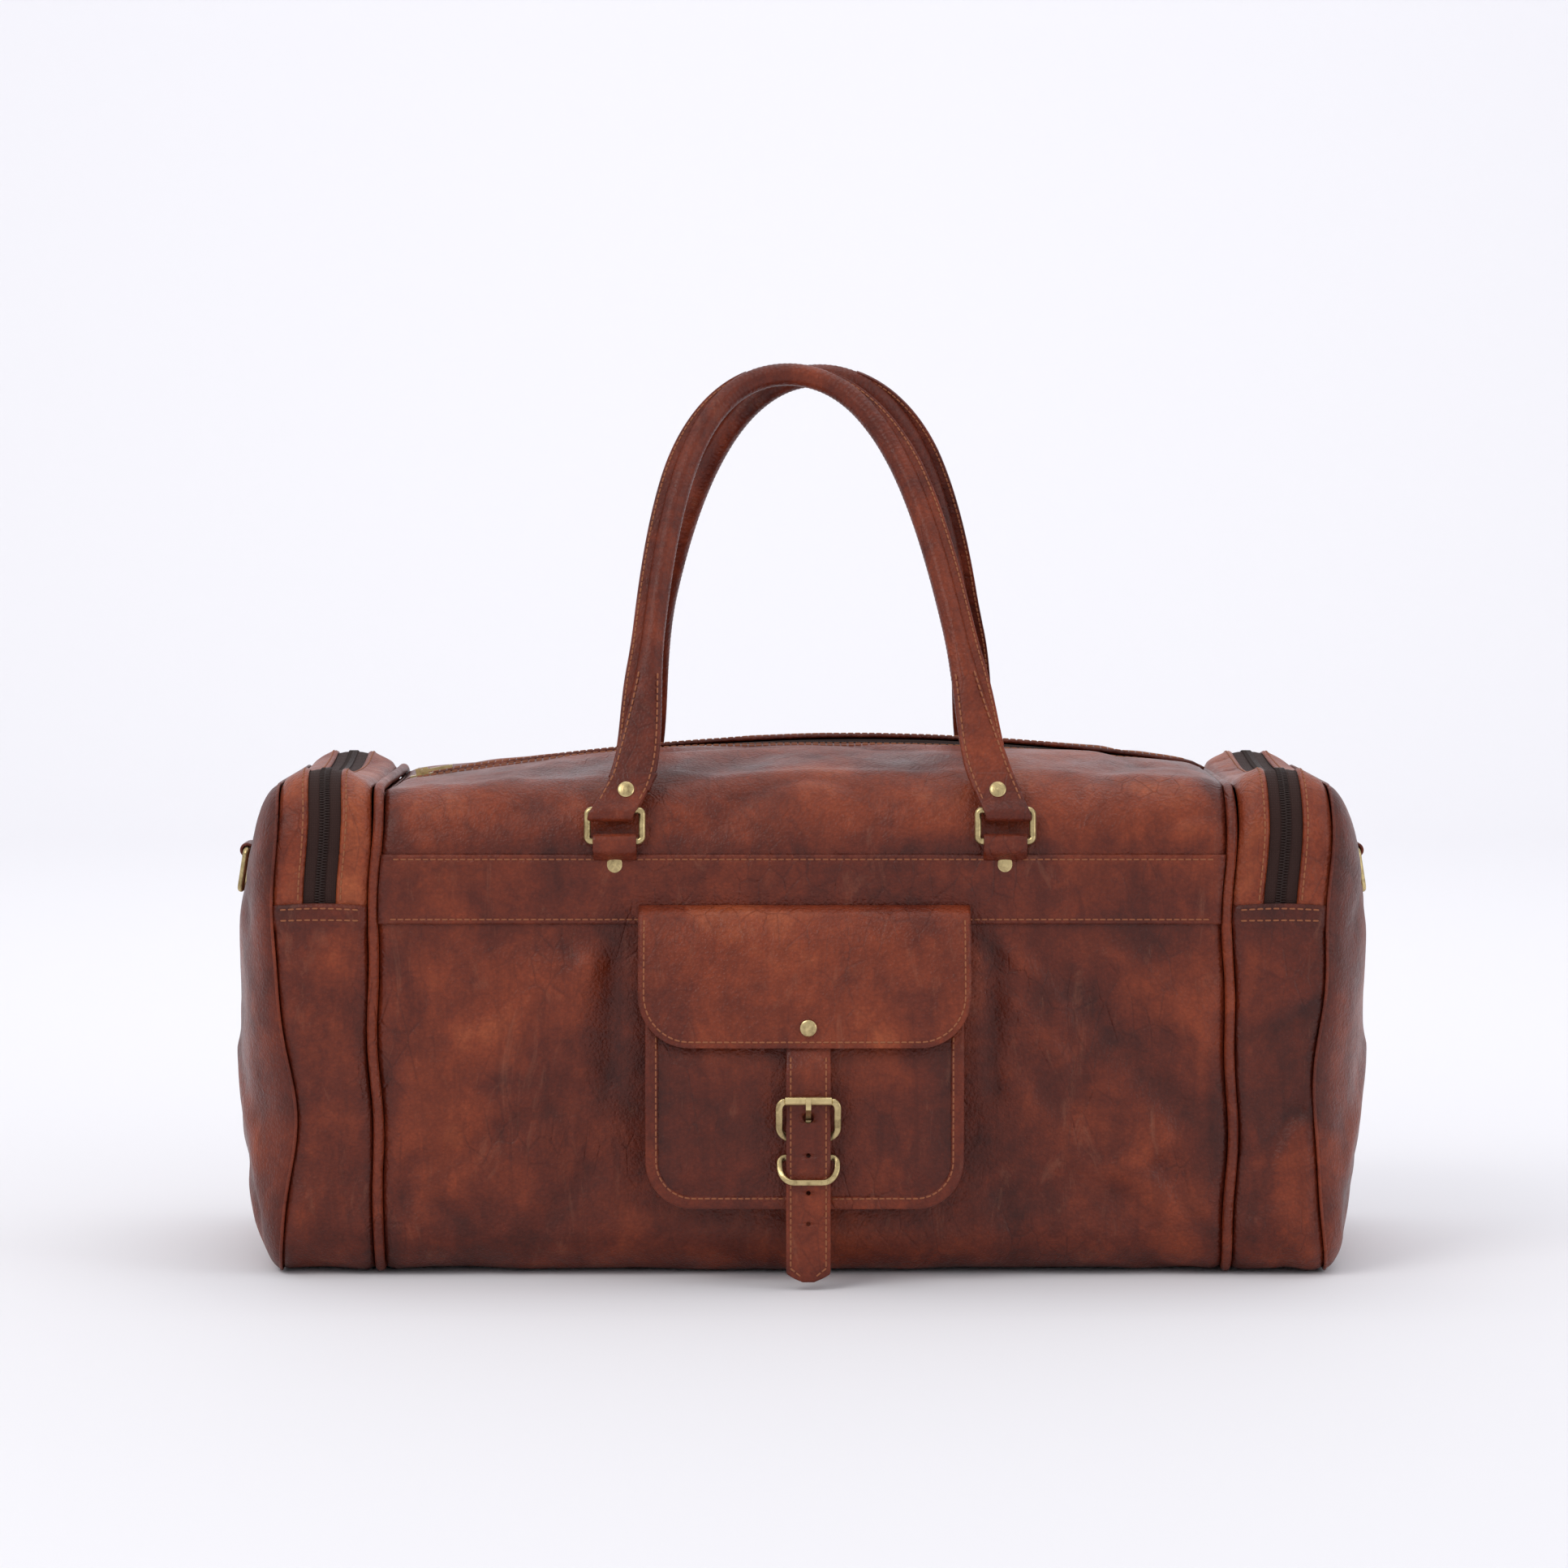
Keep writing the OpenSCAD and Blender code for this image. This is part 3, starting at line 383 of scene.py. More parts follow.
def folds(p, size, seed=0):
    """Narrow soft creases between wider plains, 0 to 1."""
    warped = p + 12 * np.stack([fbm(p, size, seed + k, 2) for k in (5, 6, 7)], axis=-1)
    return np.clip(1 - 3.2 * np.abs(value_noise(warped / size, seed)), 0, 1) ** 1.5


def arc_length(path):
    """The distance along a path at each of its points."""
    return np.concatenate([[0], np.cumsum(np.linalg.norm(np.diff(path, axis=0), axis=1))])


def along(t, s, data):
    """Rows of data, given at distances s, read at distances t."""
    return np.stack([np.interp(t, s, column) for column in data.T], axis=1)


def unit(vectors):
    return vectors / np.maximum(np.linalg.norm(vectors, axis=-1), 1e-9)[..., None]


def tangents(path):
    return unit(np.gradient(path, axis=0))


def loop_tangents(path):
    return unit(np.roll(path, -1, axis=0) - np.roll(path, 1, axis=0))


def smooth(value, low, high):
    t = np.clip((value - low) / (high - low), 0, 1)
    return t * t * (3 - 2 * t)


class Curve:
    """A polyline in the YZ plane by arc length, with its outward direction."""

    def __init__(self, points):
        points = np.array(points, float)
        keep = np.concatenate([[True], np.hypot(*np.diff(points, axis=0).T) > 1e-6])
        self.p = points[keep]
        self.s = arc_length(self.p)
        self.length = self.s[-1]
        d = unit(np.gradient(self.p, self.s, axis=0))
        self.n = np.stack([-d[:, 1], d[:, 0]], axis=1)

    def at(self, s):
        return tuple(np.interp(s, self.s, col) for col in (*self.p.T, *self.n.T))


def arc(cy, cz, r, a0, a1, step=3.75):
    """Points on a circle from one angle to another, about a step of degrees apart."""
    count = max(2, int(abs(a1 - a0) / step))
    return [(cy + r * math.cos(math.radians(a)), cz + r * math.sin(math.radians(a)))
            for a in np.linspace(a0, a1, count + 1)]


def line(a, b, n=40):
    return [(a[0] + (b[0] - a[0]) * i / n, a[1] + (b[1] - a[1]) * i / n) for i in range(n + 1)]


def under_bag(back_z, front_z):
    """From a height on the back down, under the bag and up to a height on the front."""
    return Curve(line((HALF_D, back_z), (HALF_D, CZ)) + arc(CY, CZ, BASE_R, 0, -90) + line((CY, 0), (-CY, 0))
                 + arc(-CY, CZ, BASE_R, -90, -180) + line((-HALF_D, CZ), (-HALF_D, front_z)))


CY, CZ = HALF_D - BASE_R, BASE_R                   # centres of the corner arcs, low and high
TY, TZ = HALF_D - TOP_R, WALL_H - TOP_R
UNDER = under_bag(BAND_Z1, BAND_Z1)
LOWER = under_bag(BACK_Z, HEM_Z + 2)
OVER = Curve(line((-HALF_D, HEM_Z), (-HALF_D, TZ), 12) + arc(-TY, TZ, TOP_R, 180, 90)
             + line((-TY, WALL_H), (TY, WALL_H)) + arc(TY, TZ, TOP_R, 90, 0)
             + line((HALF_D, TZ), (HALF_D, BACK_Z), 24))
ROUND = Curve(np.concatenate([OVER.p, LOWER.p[1:]]))

# ---- Mesh making ------------------------------------------------------------------


def turn_outwards(mesh):
    work = bmesh.new()
    work.from_mesh(mesh)
    bmesh.ops.recalc_face_normals(work, faces=work.faces)
    work.to_mesh(mesh)
    work.free()


def piece(name, verts, faces, mat, body, nodes=(), slot="leather", tone=None, thick=0.0, rim=None,
          blend=None):
    """A mesh in mm as a piece on a body, or with blend given, a piece on no body with its placement baked
    into its mesh.
    """
    mesh = bpy.data.meshes.new(name)
    mesh.from_pydata((np.asarray(verts) * MM).tolist(), [], faces)
    if not thick:
        turn_outwards(mesh)
    mesh.polygons.foreach_set("use_smooth", [True] * len(mesh.polygons))
    mesh.materials.append(mat)
    if tone is not None:
        layer = mesh.attributes.new("tone", "FLOAT", "POINT")
        layer.data.foreach_set("value", np.asarray(tone, np.float32).ravel())
    mesh.update()
    obj = bpy.data.objects.new(name, mesh)
    scene.collection.objects.link(obj)
    if thick:
        shell = obj.modifiers.new("thickness", "SOLIDIFY")
        shell.thickness = thick * MM
        shell.offset = -1
        if rim is not None:
            mesh.materials.append(rim)
            shell.material_offset_rim = 1
    if blend:
        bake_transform(obj)
    else:
        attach(obj, body)
    if nodes:
        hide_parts(*nodes)
    return obj


def grid(x, y, z):
    """Points from three arrays that fit each other's shapes."""
    return np.stack(np.broadcast_arrays(x, y, z), axis=-1)


def grid_faces(n, m, wrap=False, flip=False):
    faces = []
    for i in range(n - 1):
        for j in range(m if wrap else m - 1):
            a, b = i * m + j, i * m + (j + 1) % m
            quad = (a, b, b + m, a + m)
            faces.append(quad[::-1] if flip else quad)
    return faces


def skin_faces(n, m, closed=False):
    """Faces round n rings of m points, with the last ring joined to the first or both ends capped."""
    last = (n - 1) * m
    if closed:
        ends = [(last + k, last + (k + 1) % m, (k + 1) % m, k) for k in range(m)]
    else:
        ends = [tuple(range(m)), tuple(range(last, last + m))]
    return grid_faces(n, m, True) + ends


MIDDLE = (0.0, 0.0, MID_Z)


def normals_of(points):
    du = np.gradient(points, axis=0)
    dv = np.gradient(points, axis=1)
    return unit(np.cross(du, dv))


def outward(points, centre=MIDDLE):
    n = normals_of(points)
    return -n if np.median(np.sum(n * (points - np.array(centre)), axis=-1)) < 0 else n


def sheet(name, points, mat, body, centre=MIDDLE, thick=2.0, **more):
    """A grid of points as a leather sheet, given its thickness on the side of the centre."""
    n, m = points.shape[:2]
    away = np.median(np.sum(normals_of(points) * (points - np.array(centre)), axis=-1))
    faces = grid_faces(n, m, False, away > 0)
    return piece(name, points.reshape(-1, 3), faces, mat, body, thick=thick, **more)


class Batch:
    """Many small solids gathered into one mesh."""

    def __init__(self):
        self.verts, self.faces, self.count = [], [], 0

    def add(self, verts, faces):
        self.verts.append(np.asarray(verts, float))
        self.faces.extend([tuple(v + self.count for v in f) for f in faces])
        self.count += len(verts)

    def capsules(self, a, b, r, up, flat=1.0, sides=6):
        """Round-ended rods from the points a to the points b, thinner by flat in the direction up."""
        d = unit(b - a)
        e1 = unit(np.cross(d, up))
        e2 = np.cross(e1, d)
        rings = [(-r * 0.15, 0.55), (r * 0.55, 0.95), (None, 0.95), (None, 0.55)]
        verts = []
        for index, (offset, scale) in enumerate(rings):
            base = a + d * offset if index < 2 else b - d * (rings[3 - index][0])
            for k in range(sides):
                angle = 2 * math.pi * k / sides
                verts.append(base + r * scale * (e1 * math.cos(angle) + e2 * flat * math.sin(angle)))
        verts += [a - d * r * 0.4, b + d * r * 0.4]
        verts = np.stack(verts, axis=1)
        faces = grid_faces(4, sides, True, True)
        faces += [(4 * sides, (k + 1) % sides, k) for k in range(sides)]
        faces += [(4 * sides + 1, 3 * sides + k, 3 * sides + (k + 1) % sides) for k in range(sides)]
        for rod in verts:
            self.add(rod, faces)

    def tube(self, path, r, sides=8, closed=False):
        """A round tube along a path, r being its radius or the radius at each point."""
        path = np.asarray(path, float)
        d = loop_tangents(path) if closed else tangents(path)
        ref = np.array([1.0, 0, 0]) if abs(d[:, 0]).mean() < 0.8 else np.array([0, 0, 1.0])
        e1 = unit(np.cross(d, ref))
        e2 = np.cross(d, e1)
        radius = np.broadcast_to(r, (len(path),))[:, None]
        angles = [2 * math.pi * k / sides for k in range(sides)]
        verts = np.stack([path + radius * (e1 * math.cos(a) + e2 * math.sin(a)) for a in angles], axis=1)
        self.add(verts.reshape(-1, 3), skin_faces(len(path), sides, closed))

    def done(self, name, mat, body, **more):
        return piece(name, np.concatenate(self.verts), self.faces, mat, body, **more)


PITCH, STITCH, THREAD_R = 4.0, 2.9, 0.53
stitches = {}


def stitch(body, path, out, pitch=PITCH, length=STITCH, lift=0.12):
    """A row of stitches along a path of points, out being the surface's outward directions."""
    path, out = np.asarray(path, float), np.asarray(out, float)
    s = arc_length(path)
    count = max(1, int(s[-1] / pitch))
    mid = (np.arange(count) + 0.5) * s[-1] / count
    up = unit(along(mid, s, out))
    a, b = along(mid - length / 2, s, path) + up * lift, along(mid + length / 2, s, path) + up * lift
    stitches.setdefault(body, Batch()).capsules(a, b, THREAD_R, up, 0.8)


def grid_line(points, normals, row=None, col=None):
    """The points and outward directions on a fractional row or column of a grid."""
    if row is None:
        points, normals, row = points.swapaxes(0, 1), normals.swapaxes(0, 1), col
    i = min(int(row), len(points) - 2)
    f = row - i
    return points[i] * (1 - f) + points[i + 1] * f, normals[i] * (1 - f) + normals[i + 1] * f


def sew(body, points, normals, rows=(), cols=(), **more):
    for row in rows:
        stitch(body, *grid_line(points, normals, row=row), **more)
    for col in cols:
        stitch(body, *grid_line(points, normals, col=col), **more)


def place(values, wanted):
    """Fractional index of a wanted value in rising values."""
    return float(np.interp(wanted, values, np.arange(len(values))))


def bell(value, middle, width):
    return np.exp(-((value - middle) / width) ** 2)


def sag(p):
    """Lengthwise wander of the seams: the ends' front seams bow inwards low down, and lift off the floor."""
    x, y, z = p[..., 0], p[..., 1], p[..., 2]
    side, far = np.sign(x), np.abs(x)
    near_face = np.clip(np.abs(y) / HALF_D, 0, 1) ** 3
    on_run = smooth(z, 115, 150) * (1 - smooth(z, 238, 262)) * (y > 0)     # where an end slider travels
    wander = 1.5 * np.sin(z / 34 + 1.1 * side + y / 60) + 0.8 * np.sin(z / 13 + 2 * side)
    bow = np.where(y < 0, 10.5 * bell(z, 92, 58), 4.5 * bell(z, 85, 40)) * smooth(far, PIPE_X, SEAM_X)
    drift = wander * smooth(far, 120, PIPE_X) * (1 - on_run) - bow
    q = np.array(p, float)
    q[..., 0] = x + side * near_face * drift
    q[..., 2] = z + 3.5 * bell(far, 262, 20) * (1 - smooth(z, 0, 55)) * near_face
    return q


def dress(points, mask, seed, swell=0.0, wave=1.4, crease=0.9, fine=0.22, size=95, centre=MIDDLE):
    """Moves a grid of points off its plain shape as soft leather does, and gives it a colour tone of painted
    light: lighter where it bulges, darker in its folds and towards its masked edges.
    """
    n = outward(points, centre)
    cloud = fbm(points, size, seed)
    fold = folds(points, size * 0.75, seed + 11)
    ripple = fbm(points, 19, seed + 23, 2)
    height = swell + wave * cloud + fine * ripple - crease * fold
    moved = points + n * (mask * height)[..., None]
    # painted highlight on the bulges and ripples, painted shade in the folds and where the mask falls towards
    # the seams
    tone = 0.10 * cloud + 0.05 * ripple - 0.16 * fold - 0.16 * (1 - mask)
    return moved, outward(moved, centre), tone


def dent(u, v, marks):
    """Sum of long soft ridges or dents: each mark is (u0, v0, u1, v1, half width, height)."""
    total = 0.0
    for u0, v0, u1, v1, width, height in marks:
        du, dv = u1 - u0, v1 - v0
        t = np.clip(((u - u0) * du + (v - v0) * dv) / (du * du + dv * dv), 0, 1)
        off = np.hypot(u - u0 - t * du, v - v0 - t * dv)
        total = total + height * np.exp(-(off / width) ** 2)
    return total


def crown(x):
    return CROWN_H - CROWN_R + np.sqrt(CROWN_R ** 2 - (x - CROWN_X) ** 2)


def mouth_tilt(x, y):
    """The rear lip of the main zip stands a little above its front lip."""
    return 2.4 * bell(x, 70, 150) * np.clip(y / MOUTH, -1, 1) * (1 - smooth(np.abs(y), 20, 80))


def shoulder(x):
    return WALL_H + 0.45 * (crown(x) - WALL_H)


# ---- Main compartment ----------------------------------------------------------------

# ridges and dents, and in YOKE_SMUDGES darker and lighter places: see dent
FACE_MARKS = [
    (132, 172, 205, 92, 9, -2.6), (158, 190, 224, 128, 10, 2.4), (118, 120, 176, 46, 8, -2.0),
    (150, 66, 214, 38, 9, 1.8), (196, 60, 224, 22, 6, -2.2), (108, 44, 120, 12, 7, -1.6),
    (-118, 168, -208, 108, 10, 1.8), (-130, 96, -205, 60, 9, -2.2), (-112, 60, -150, 20, 8, -1.4),
    (-214, 66, -226, 22, 6, -2.0), (-224, 176, -190, 120, 8, -1.4),
    (-101, 186, -104, 110, 9, -3.4), (-112, 184, -128, 140, 8, 1.6), (101, 186, 104, 104, 8, -3.2),
    (112, 182, 140, 150, 6, 1.8), (116, 150, 142, 120, 5, 1.4), (146, 128, 152, 100, 6, -1.8),
    (170, 60, 196, 78, 8, 2.2), (122, 96, 160, 74, 6, 1.2)]


def body_shell():
    x = np.linspace(-BODY_X, BODY_X, 168)
    s = np.linspace(0, UNDER.length, 250)
    y, z, ny, _ = UNDER.at(s)
    base = grid(x[None, :], y[:, None], z[:, None])
    edge = BODY_X - np.abs(x)[None, :]
    face = np.abs(ny)[:, None]
    front = (y < 0)[:, None]
    height = z[:, None]
    mask = smooth(edge, 0, 15) * (1 - smooth(height, 170, 190)) + 0 * height
    behind = 20                                    # the panel is calm behind the pocket and this far round it
    pocket = smooth(POCKET_HALF + behind - np.abs(x - POCKET_X), 0, behind)[None, :]
    pocket = pocket * smooth(height, 24, 50) * front
    full = np.sin(np.pi * np.clip(height / 205, 0, 1)) ** 0.7 * face
    swell = full * (3.6 - 2.6 * pocket) * np.cos(np.pi * x / 2.3 / BODY_X)[None, :] ** 0.5
    marks = dent(x[None, :], height, FACE_MARKS) * np.where(front, 1.0, 0.8) * face * (1 - 0.8 * pocket)
    calm = 1.7 * (1 - 0.6 * pocket)
    p, n, tone = dress(base, mask, 3, swell + marks, calm, calm, 0.3)
    p = p - n * (1.7 * (1 - smooth(edge, 0, 6)) + 0 * height)[..., None]
    p[..., 2] = np.maximum(p[..., 2], 0.15)
    # painted highlight on the ridges and painted shade in the dents; darker towards the bottom
    tone = tone + 0.07 * marks - 0.10 * (1 - smooth(height, 0, 40))
    sheet("body_shell", sag(p), hide, "bag", nodes=("front_panel", "rear_panel", "base_panel"), tone=tone)


YOKE_MARKS = [
    (-60, -100, -20, -40, 12, -2.2), (70, -96, 40, -30, 13, -1.8), (150, -104, 188, -50, 10, -2.0),
    (-170, -100, -140, -46, 11, 1.8), (-110, -112, -100, -84, 8, -1.6), (112, -112, 104, -84, 8, -1.6)]
YOKE_SMUDGES = [
    (-72, -84, -40, -72, 16, -0.40), (40, -80, 78, -64, 17, -0.42), (-10, -100, 20, -100, 22, 0.14),
    (-190, -96, -120, -104, 18, 0.14), (150, -100, 200, -92, 16, 0.12), (-20, -50, 60, -46, 16, -0.2)]


def yoke(side, name, node):
    """Top of the main compartment from the band up to the zip, side -1 at the front."""
    x = np.linspace(-BODY_X, BODY_X, 160)
    a = np.radians(np.linspace(-6, 90, 30))
    share = np.linspace(0, 1, 26)[1:]
    sh, cr = shoulder(x)[:, None], crown(x)[:, None]
    depth = HALF_D - SHOULDER_Y
    y = np.concatenate([-SHOULDER_Y - depth * np.cos(a) + 0 * sh,
                        -SHOULDER_Y + (SHOULDER_Y - MOUTH) * share + 0 * sh], axis=1)
    z = np.concatenate([BAND_Z1 + (sh - BAND_Z1) * np.sin(a),
                        sh + (cr - sh) * np.sin(share * np.pi / 2)], axis=1)
    base = np.stack([np.broadcast_to(x[:, None], y.shape), -side * y, z], axis=-1)
    edge = (BODY_X - np.abs(x))[:, None]
    mask = smooth(edge, 0, 14) * smooth(z, BAND_Z1 + 1, BAND_Z1 + 16) * smooth(-y - MOUTH, 0, 14)
    marks = dent(x[:, None], y, YOKE_MARKS)
    p, n, tone = dress(base, mask, 40 + 7 * side, marks + 1.0, 2.2, 1.7, 0.3)
    lip = bell(-y - MOUTH, 2.5, 4.0) * smooth(edge, 2, 12)
    p = p + n * (0.9 * lip - 1.6 * (1 - smooth(edge, 0, 6)))[..., None]
    p[..., 2] += mouth_tilt(p[..., 0], p[..., 1])
    p = sag(p)
    tone = tone + dent(p[..., 0], p[..., 1], YOKE_SMUDGES) * (side < 0)
    # painted shade along the band, the mouth and the ends, where the mask falls
    sheet(name, p, hide, "bag", nodes=(node,), tone=tone + 0.08 * mask, thick=1.8)
    last = p.shape[1] - 1
    sew("bag", p[4:-4], outward(p)[4:-4], cols=[last - 0.9, last - 2.2])


BAND_MARKS = [(122, 230, 142, 206, 3, 0.8), (132, 232, 156, 200, 3, -0.5), (150, 226, 166, 204, 3, 0.7),
              (-96, 228, -84, 200, 4, 0.4), (-150, 230, -130, 196, 5, -0.4), (190, 214, 226, 206, 5, 0.6)]


def band(side, name, node):
    x = np.linspace(-BODY_X, BODY_X, 150)
    edge = [(0.02, 0), (0.9, 0), (1.35, 0.35), (1.6, 1.1), (1.6, 1.9), (1.25, 2.6), (1.55, 3.4)]
    flat = [(1.7, z) for z in np.linspace(BAND_Z0 + 5, BAND_Z1 - 5, 12)]
    profile = np.array([(y, BAND_Z0 + z) for y, z in edge] + flat + [(y, BAND_Z1 - z) for y, z in edge[::-1]])
    y, z = side * (HALF_D + profile[:, 0]), profile[:, 1]
    base = grid(x[:, None], y[None, :], z[None, :])
    wave = 0.32 * fbm(base * np.array([1, 0.2, 0.5]), 55, 70 + side)
    tabs = smooth(15 - np.abs(np.abs(x - HANDLE_X) - RING_X), 0, 3)[:, None] * smooth(base[..., 2], 210, 214)
    wave = wave + dent(base[..., 0], base[..., 2], BAND_MARKS) * (side < 0)
    lift = np.clip(profile[:, 0] / 1.6, 0, 1)[None, :]
    end = smooth((BODY_X - np.abs(x))[:, None], 0, 5)
    base[..., 1] += side * lift * (wave + 0.35 * tabs + 0.35 - 0.8 * (1 - end))
    p = sag(base)
    # cloudy, with painted shade at the ends where the strip tucks in, and darker overall
    tone = 0.12 * fbm(base, 45, 77) - 0.16 * (1 - end) - 0.10
    sheet(name, p, hide, "bag", nodes=(node,), tone=tone, thick=0.6)
    sew("bag", p[2:-2], outward(p)[2:-2], cols=[5, len(profile) - 6])


def outline_points(inset, low, count=260):
    s = np.linspace(0, ROUND.length, count, endpoint=False)
    y, z, ny, nz = ROUND.at(s)
    return y - inset * ny, np.maximum(z - inset * nz, low)


def piping(end, name):
    y, z = outline_points(1.4, PIPE_R + 0.1)
    path = sag(np.stack([np.full_like(y, end * PIPE_X), y, z], axis=-1))
    batch = Batch()
    batch.tube(path, PIPE_R * (1 + 0.05 * fbm(path, 12, 91, 2)), 14, closed=True)
    batch.done(f"{name}_piping_cord", hide, "bag", nodes=(f"{name}_piping",))


def wall_disc(x, inset, low, rings=14):
    """A wall across the bag at x, as a grid from its middle to the outline."""
    y, z = outline_points(inset, low, 120)
    share = np.linspace(0.03, 1, rings)[:, None]
    yy, zz = y[None, :] * share, MID_Z + (z[None, :] - MID_Z) * share
    return np.stack([np.full_like(yy, x), yy, zz], axis=-1)


def closed_sheet(name, points, mat, body, away, tone=None, thick=2.0, **more):
    """Rings of points joined round, with the middle closed, as a leather sheet."""
    n, m = points.shape[:2]
    verts = np.concatenate([points.reshape(-1, 3), points[0].mean(axis=0)[None]])
    faces = grid_faces(n, m, True) + [(n * m, (k + 1) % m, k) for k in range(m)]
    du, dv = points[1, 0] - points[0, 0], points[0, 1] - points[0, 0]
    if np.dot(np.cross(dv, du), away) < 0:
        faces = [f[::-1] for f in faces]
    if tone is not None:
        tone = np.append(tone.ravel(), tone[0].mean())
    return piece(name, verts, faces, mat, body, tone=tone, thick=thick, **more)


def partition(end, name):
    p = wall_disc(end * (PIPE_X - 1), 4.8, 2 * PIPE_R + 0.6)
    p[..., 0] += 0.6 * fbm(p, 60, 95)
    closed_sheet(f"{name}_partition_wall", p, hide, "bag", (end, 0, 0), nodes=(f"{name}_partition",))


def lining():
    x = np.linspace(-BODY_X + 1, BODY_X - 1, 60)
    s = np.linspace(6, UNDER.length - 6, 90)
    y, z, ny, nz = UNDER.at(s)
    p = grid(x[None, :], (y - 4 * ny)[:, None], (z - 4 * nz)[:, None])
    p = p + 0.25 * fbm(p, 40, 97)[..., None]
    sheet("compartment_lining", p, lining_cloth, "bag", nodes=("main_lining",), slot="lining", thick=0.6)


body_shell()
for side, word in ((-1, "front"), (1, "rear")):
    yoke(side, f"{word}_yoke", f"top_{word}_panel")
    band(side, f"{word}_belt_strip", f"{word}_band")
for end, word in ((-1, "left"), (1, "right")):
    piping(end, word)
    partition(end, word)
lining()

# ---- Zips ------------------------------------------------------------------------------

COIL_PITCH, COIL_R = 1.55, 0.62


def coil(points, normals, across, half, name, node):
    """The two halves of a coil zip: loops across a line of points."""
    s = arc_length(points)
    batch = Batch()
    for hand, start in ((-1, 0.25), (1, 0.75)):
        t = np.arange(start * COIL_PITCH, s[-1], COIL_PITCH)
        at, up, way = (along(t, s, rows) for rows in (points, normals, across))
        batch.capsules(at + way * hand * half, at - way * hand * 0.35, COIL_R, up, 0.85, 5)
    batch.done(name, nylon, "bag", nodes=(node,), slot="zip_chain")


def main_zip():
    x = np.linspace(-BODY_X + 3, BODY_X - 3, 150)
    y = np.linspace(-MOUTH + 0.1, MOUTH - 0.1, 9)
    z = crown(x)[:, None] - 1.9 + 0.12 * np.cos(y / 2.2)[None, :]
    z = z + mouth_tilt(x[:, None], y[None, :]) * smooth(np.abs(y), 4.6, 6)[None, :]
    p = grid(x[:, None], y[None, :], z)
    sheet("main_zip_tape", p, tape_cloth, "bag", nodes=("main_zip_tapes",), slot="zip_tape", thick=0.7)
    slope = -(x - CROWN_X) / np.sqrt(CROWN_R ** 2 - (x - CROWN_X) ** 2)
    normal = unit(np.stack([-slope, 0 * x, 1 + 0 * x], axis=-1))
    ridge = np.stack([x, 0 * x, crown(x) - 1.25], axis=-1)
    coil(ridge, normal, np.tile([0.0, 1.0, 0.0], (len(x), 1)), 2.5, "main_zip_coil", "main_zip_chain")


main_zip()

# ---- End pockets -------------------------------------------------------------------------


def gusset_point(end, x, s, curve=OVER, drop=0.0):
    """Points of the end gusset at a distance s along the outline and x from the bag's middle."""
    y, z, ny, nz = curve.at(s)
    u = (x - GUSSET_X) / (SEAM_X - GUSSET_X)
    top = np.clip((z - TZ) / TOP_R, 0, None)
    saddle = 0.2 + 0.8 * np.minimum(1, (y / TY) ** 2)
    rise = (1 - np.abs(2 * u - 1) ** 2.2) * (1 + 9 * top * saddle) - drop
    return grid(end * x, y + rise * ny, z + rise * nz)


STRIP_PALER = 0.40                                 # the leather beside the end zips is the palest


def gusset_strip(x0, x1, end, seed, zip_first):
    """The points and tone of a strip beside an end zip; zip_first if the zip is on its x0 side."""
    x = np.linspace(x0, x1, 16)[None, :]
    s = np.linspace(0, OVER.length, 170)[:, None]
    base = gusset_point(end, x, s)
    rows = smooth(s, 0, 14) * smooth(OVER.length - s, 0, 14)
    zip_edge = (x - x0) if zip_first else (x1 - x)
    seam_edge = (x1 - x) if zip_first else (x - x0)
    mask = rows * smooth(seam_edge, 0, 8) * (0.4 + 0.6 * smooth(zip_edge, 0, 8))
    p, n, tone = dress(base, mask, seed, 0.3, 1.1, 1.0, 0.25, 60)
    drop = 1.5 * (1 - smooth(seam_edge, 0, 4)) + 0.9 * (1 - smooth(zip_edge, 0, 1.2))
    drop = drop - 0.5 * bell(zip_edge, 2.4, 2.2)
    p = sag(p - n * (drop + 0 * s)[..., None])
    sewn = x0 + 2.6 if zip_first else x1 - 2.6
    sew("bag", p[2:-2], outward(p)[2:-2], cols=[place(x[0], sewn)])
    return p, tone


def end_pocket(end, word):
    inner = gusset_strip(GUSSET_X, ZIP_X - ZIP_HALF, end, 110 + end, False)
    outer = gusset_strip(ZIP_X + ZIP_HALF, SEAM_X, end, 120 + end, True)
    for which, (p, tone) in (("inner", inner), ("outer", outer)):
        sheet(f"{word}_gusset_{which}_strip", p, hide, "bag", nodes=(f"{word}_gusset_strips",),
              tone=tone + STRIP_PALER, thick=1.8)
    x = np.linspace(ZIP_X - ZIP_HALF - 0.8, ZIP_X + ZIP_HALF + 0.8, 13)[None, :]
    s = np.linspace(0, OVER.length, 170)[:, None]
    rib = 0.35 * bell(np.abs(x - ZIP_X), 4.2, 0.7)
    p = sag(gusset_point(end, x, s, drop=1.5 - rib))
    sheet(f"{word}_zip_tape", p, tape_cloth, "bag", nodes=(f"{word}_zip_tapes",), slot="zip_tape", thick=0.7)
    up = outward(p)[:, 6]
    coil(p[:, 6] + up * 0.45, up, unit(p[:, 7] - p[:, 5]), 2.6, f"{word}_zip_coil", f"{word}_zip_chain")
    lower_gusset(end, word)
    end_panel(end, word)


GUSSET_MARKS = [(242, 60, 284, 96, 6, -1.8), (240, 120, 282, 150, 8, 1.2), (246, 26, 284, 44, 6, 1.6)]


